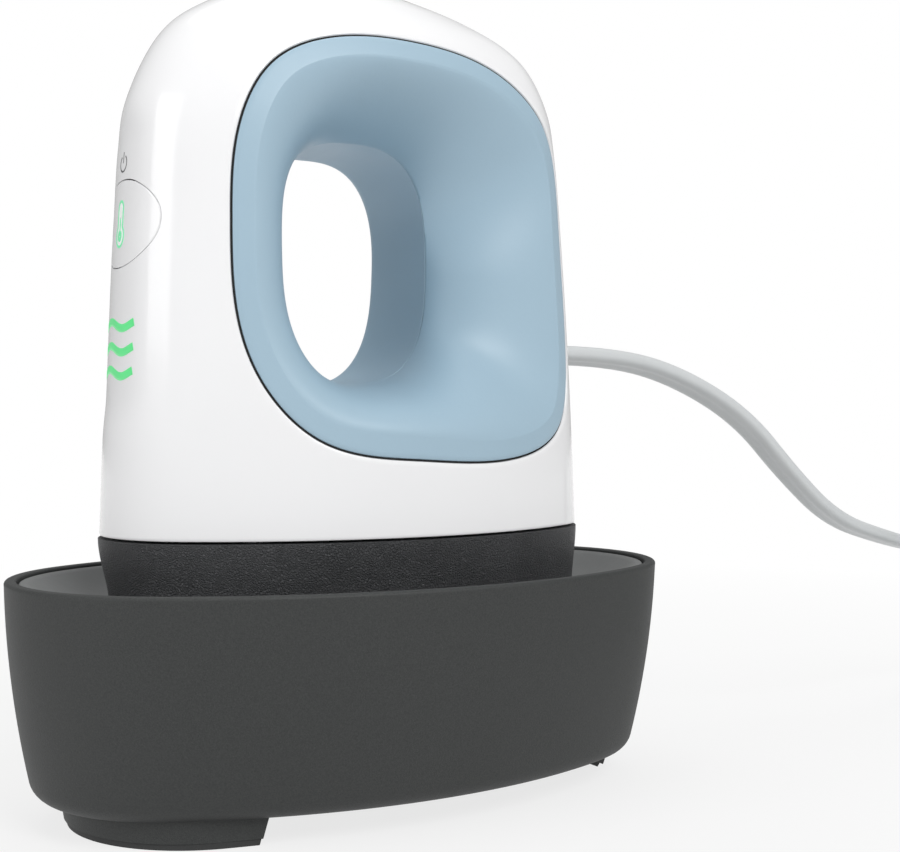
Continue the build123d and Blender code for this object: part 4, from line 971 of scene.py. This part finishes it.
bulb_z = BUTTON_Z - HALF_TALL + BULB
glass_z = bulb_z + GLASS_UP
glass = thermometer_line(0.3)
symbol = inlay(
    "thermometer_inlay",
    [
        ribbon(thermometer_line(LINE_WIDE / 2), LINE_WIDE, True),
        upright(bulb_z, BUTTON_Z + MERCURY_TOP, 24, MERCURY_WIDE),
        disc(bulb_z, MERCURY_BALL),
    ],
    MINT,
    "power_button",
    "lit_green",
)
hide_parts("thermometer_lens")
window_rows = [[(y * s, glass_z + (z - glass_z) * s) for y, z in glass] for s in (1.0, 0.98, 0.6, 0.3, 0.02)]
inlay("thermometer_window", [(window_rows, True)], PALE, "power_button", "lit_green", 0.015)

POWER_Z, POWER_WIDE, POWER_TALL = 104.7, 1.5, 1.3
ring_turns = np.radians(np.linspace(34, 326, 40))
ring_line = [(POWER_WIDE * math.sin(a), POWER_Z - 0.15 + POWER_TALL * math.cos(a)) for a in ring_turns]
power_strips = [ribbon(ring_line, 0.34), upright(POWER_Z - 0.1, POWER_Z + 1.65, 10, 0.36)]
inlay("power_symbol_print", power_strips, INK, "press", "shell_white", 0.02)

# ---- cord
D = 5.5
ROUTE = [
    (42.4, 0.0, 75.7),
    (55.0, 0.0, 75.7),
    (71.0, 0.3, 72.3),
    (88.0, 0.6, 64.2),
    (100.0, 0.6, 52.6),
    (112.0, 0.4, 42.8),
    (128.0, 2.0, 38.2),
    (153.6, 11.1, 33.5),
    (182.2, 11.4, 27.5),
    (206.0, -3.8, 20.5),
    (218.9, -28.5, 12.8),
    (214.3, -57.7, 6.6),
    (193.5, -74.6, 3.5),
]
COIL_X, COIL_Y, COIL_MIDDLE, LANES = 170.0, -32.0, 33.0, 3.5
LOW_Z, HIGH_Z = 3.35, 8.85
TAIL = [(151.0, -75.2, 8.5), (134.0, -72.0, 7.0)]
PER_TURN = 16
coil_points = []
steps = int(LANES * PER_TURN)
bulge = 1 / math.cos(math.pi / PER_TURN) ** 0.5  # the curve runs inside its control points
for layer, z in ((0, LOW_Z), (1, HIGH_Z)):  # inwards in the lower layer, then outwards in the upper one
    for i in range(steps + 1):
        share = i / steps
        inwards = share if layer == 0 else 1 - share
        radius = COIL_MIDDLE + LANES * D * (0.5 - inwards) - 0.25 * D * (1 if 0 < share < 1 else 0.5)
        a = -math.pi / 2 - 2 * math.pi * LANES * (layer + share)
        lift = z if 0 < i < steps or (layer, i) in ((0, 0), (1, steps)) else (LOW_Z + HIGH_Z) / 2
        coil_points.append((COIL_X + radius * bulge * math.cos(a), COIL_Y + radius * bulge * math.sin(a), lift))


def spline_line(name, points, resolution):
    """The points that a NURBS spline of order 3 with these control points runs through, in millimetres."""
    curve = bpy.data.curves.new(name, "CURVE")
    curve.dimensions = "3D"
    spline = curve.splines.new("NURBS")
    spline.points.add(len(points) - 1)
    for point, place in zip(spline.points, points):
        point.co = (*[c * MM for c in place], 1.0)
    spline.order_u = 3
    spline.use_endpoint_u = True
    spline.resolution_u = resolution
    holder = placed(name, curve)
    bpy.context.view_layer.update()
    line = bpy.data.meshes.new_from_object(holder.evaluated_get(bpy.context.evaluated_depsgraph_get()))
    made = np.array([v.co for v in line.vertices]) / MM
    bpy.data.objects.remove(holder)
    bpy.data.curves.remove(curve)
    return made


line = spline_line("cord_line", ROUTE + coil_points + TAIL, 8)
travel = travelled(line)
HALF_WIDE, HALF_THICK, CORNER, GROOVE, GROOVE_WIDE = D / 2, 1.5, 0.72, 0.24, 0.85


def cord_section(count=40):
    """Two cores side by side in one jacket: a flat oval with a shallow groove along each face."""
    made = []
    for a in around(count):
        u = HALF_WIDE * bent(math.cos(a), CORNER)
        v = HALF_THICK * bent(math.sin(a), CORNER)
        made.append((u, v * (1 - GROOVE * math.exp(-((u / GROOVE_WIDE) ** 2)))))
    return made


# Twist along the cord, in degrees, at distances from the exit in millimetres: 0 stands the flat on edge.
TWIST = [(0, 74), (30, 74), (60, 78), (85, 86), (110, 94), (140, 120), (175, 158), (230, 180), (285, 180), (5000, 180)]
section = cord_section()
along = np.gradient(line, axis=0)
along /= np.linalg.norm(along, axis=1)[:, None]
cord_points = []
for place, forward, distance in zip(line, along, travel):
    side = np.cross(forward, (0, 0, 1.0))
    side /= np.linalg.norm(side)
    up = np.cross(side, forward)
    a = math.radians(np.interp(distance, *zip(*TWIST)))
    wide = up * math.cos(a) + side * math.sin(a)
    thin = np.cross(forward, wide)
    cord_points += [place + wide * u + thin * v for u, v in section]
cord_faces = grid_faces(len(line), len(section), True)
cord_faces.append(tuple(range(len(section))))
cord_faces.append(tuple(range(len(cord_points) - len(section), len(cord_points)))[::-1])
cord_skin = mesh("power_cord_skin", cord_points, cord_faces, CORD, None, "cord_white", 60.0)
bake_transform(cord_skin)
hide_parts("power_cord", "cord_coil", "cord_tail")

# ---- plug, moulded over the cord's end
PLUG_REAR, PLUG_LENGTH, PLUG_Y, PLUG_Z, PLUG_RING = 134.0, 28.0, -72.0, 7.0, 72
plug_points = []
# share of the length, width, thickness, and how square: the ribs of the sleeve, then the body
for t, width, thick, power in (
    (-0.02, 6.2, 4.0, 2.2),
    (0.0, 8.0, 7.2, 2.2),
    (0.03, 8.4, 7.6, 2.3),
    (0.12, 9.2, 8.2, 2.4),
    (0.13, 8.6, 7.6, 2.4),
    (0.17, 8.8, 7.8, 2.4),
    (0.18, 10.2, 8.8, 2.5),
    (0.26, 11.6, 9.6, 2.6),
    (0.27, 10.8, 9.0, 2.6),
    (0.31, 11.4, 9.4, 2.6),
    (0.32, 13.0, 10.2, 2.8),
    (0.42, 15.6, 11.2, 3.2),
    (0.55, 18.8, 12.4, 3.8),
    (0.70, 21.8, 13.4, 4.6),
    (0.84, 23.4, 13.9, 5.2),
    (0.95, 23.9, 14.0, 5.6),
    (0.985, 23.6, 13.7, 5.6),
    (1.0, 22.6, 12.8, 5.6),
    (1.0, 12.0, 6.0, 4.0),
    (1.0, 0.2, 0.1, 2.0),
):
    for a in around(PLUG_RING):
        y = PLUG_Y + width / 2 * bent(math.cos(a), 2 / power)
        z = PLUG_Z + thick / 2 * bent(math.sin(a), 2 / power)
        plug_points.append((PLUG_REAR - PLUG_LENGTH * max(t, 0.0), y, z))
plug_faces = grid_faces(len(plug_points) // PLUG_RING, PLUG_RING)
plug_skin = mesh("plug_skin", plug_points, plug_faces, CORD, "stand", "cord_white", 50.0)
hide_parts("plug_body")

# ---- tie around the coil
TIE_ANGLE, TIE_ROUND, TIE_INSET, TIE_LOW, TIE_HIGH = math.radians(200.0), 2.9, 2.25, 3.2, 8.8
tie_out = (LANES + 1) * D / 2 - TIE_INSET
profile = [(-4.0, 0.0), (-3.9, 0.3), (-3.4, 0.45), (0.0, 0.5), (3.4, 0.45), (3.9, 0.3), (4.0, 0.0), (0.0, -0.05)]
tie_points = []
tie_corners = ((tie_out, TIE_LOW), (tie_out, TIE_HIGH), (-tie_out, TIE_HIGH), (-tie_out, TIE_LOW))
for (reach, level), start in zip(tie_corners, (-90, 0, 90, 180)):
    for a in np.radians(np.linspace(start, start + 90, 8)):
        for across, thick in profile:
            r = COIL_MIDDLE + reach + (TIE_ROUND + thick) * math.cos(a)
            x = COIL_X + r * math.cos(TIE_ANGLE) - across * math.sin(TIE_ANGLE)
            y = COIL_Y + r * math.sin(TIE_ANGLE) + across * math.cos(TIE_ANGLE)
            tie_points.append((x, y, max(level + (TIE_ROUND + thick) * math.sin(a), 0.02)))
tie_quads = grid_faces(len(tie_points) // len(profile) + 1, len(profile))
tie_faces = [tuple(v % len(tie_points) for v in quad) for quad in tie_quads]
tie_skin = mesh("cord_tie_skin", tie_points, tie_faces, TIE, "stand", "rubber_dark")
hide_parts("cord_tie")

for made in (stand_skin, liner_skin, collar_skin, left_skin, right_skin, button_skin, cord_skin, plug_skin, tie_skin):
    with edited(made.data) as built:
        bmesh.ops.recalc_face_normals(built, faces=built.faces)


# ---- floor, world and lamps
def rays(tree, *kinds):
    """1 on rays of these kinds, as Light Path gives them."""
    path = add_node(tree, "ShaderNodeLightPath")
    found = path.outputs[kinds[0]]
    for kind in kinds[1:]:
        found = add_node(tree, "ShaderNodeMath", found, path.outputs[kind], operation="MAXIMUM").outputs[0]
    return found


def show_mixed(tree, output, factor, first, second):
    """The first shader where factor is 0 and the second where it is 1."""
    mix = add_node(tree, "ShaderNodeMixShader", factor, first.outputs[0], second.outputs[0])
    add_node(tree, output, Surface=mix.outputs[0])


floor_data = bpy.data.meshes.new("floor")
floor_data.from_pydata([(-4, -4, 0), (4, -4, 0), (4, 4, 0), (-4, 4, 0)], [], [(0, 1, 2, 3)])
floor = placed("floor", floor_data)
floor_look = bpy.data.materials.new("floor_white")
floor_look.use_nodes = True
tree = floor_look.node_tree
tree.nodes.clear()
soft = add_node(tree, "ShaderNodeBsdfDiffuse", Color=(0.72, 0.72, 0.72, 1))
glow = add_node(tree, "ShaderNodeEmission", Strength=1.0)
# the floor's own white is seen in full away from the object, and lets its shadow through near it
place = add_node(tree, "ShaderNodeTexCoord").outputs["Object"]
away = add_node(tree, "ShaderNodeVectorMath", place, operation="LENGTH").outputs["Value"]
ends = {"From Min": 0.07, "From Max": 0.40, "To Min": 0.78, "To Max": 1.0}
fade = add_node(tree, "ShaderNodeMapRange", Value=away, **ends).outputs["Result"]
shown = rays(tree, "Is Camera Ray", "Is Glossy Ray", "Is Transmission Ray")
factor = add_node(tree, "ShaderNodeMath", shown, fade, operation="MULTIPLY")
show_mixed(tree, "ShaderNodeOutputMaterial", factor.outputs[0], soft, glow)
floor_data.materials.append(floor_look)

world = bpy.data.worlds.new("studio")
bpy.context.scene.world = world
world.use_nodes = True
tree = world.node_tree
tree.nodes.clear()
plain = add_node(tree, "ShaderNodeBackground", Color=(1, 1, 1, 1), Strength=0.38)
white = add_node(tree, "ShaderNodeBackground", Color=(1, 1, 1, 1), Strength=1.0)
show_mixed(tree, "ShaderNodeOutputWorld", rays(tree, "Is Camera Ray", "Is Transmission Ray"), plain, white)


def lamp(name, place, target, size, power):
    data = bpy.data.lights.new(name, "AREA")
    data.shape = "RECTANGLE"
    data.size, data.size_y = size
    data.energy = power
    made = placed(name, data)
    made.location = place
    made.rotation_euler = (Vector(target) - Vector(place)).to_track_quat("-Z", "Y").to_euler()


lamp("key", (0.06, -1.0, 0.86), (0, 0, 0.08), (0.55, 0.55), 7.9)
lamp("side", (-1.0, -0.12, 0.46), (0, 0, 0.08), (0.6, 0.6), 2.9)
lamp("fill", (0.75, -0.75, 0.45), (0, 0, 0.07), (0.5, 0.8), 0.5)
lamp("top", (0.0, 0.15, 1.0), (0, 0, 0.05), (0.7, 0.7), 3.2)
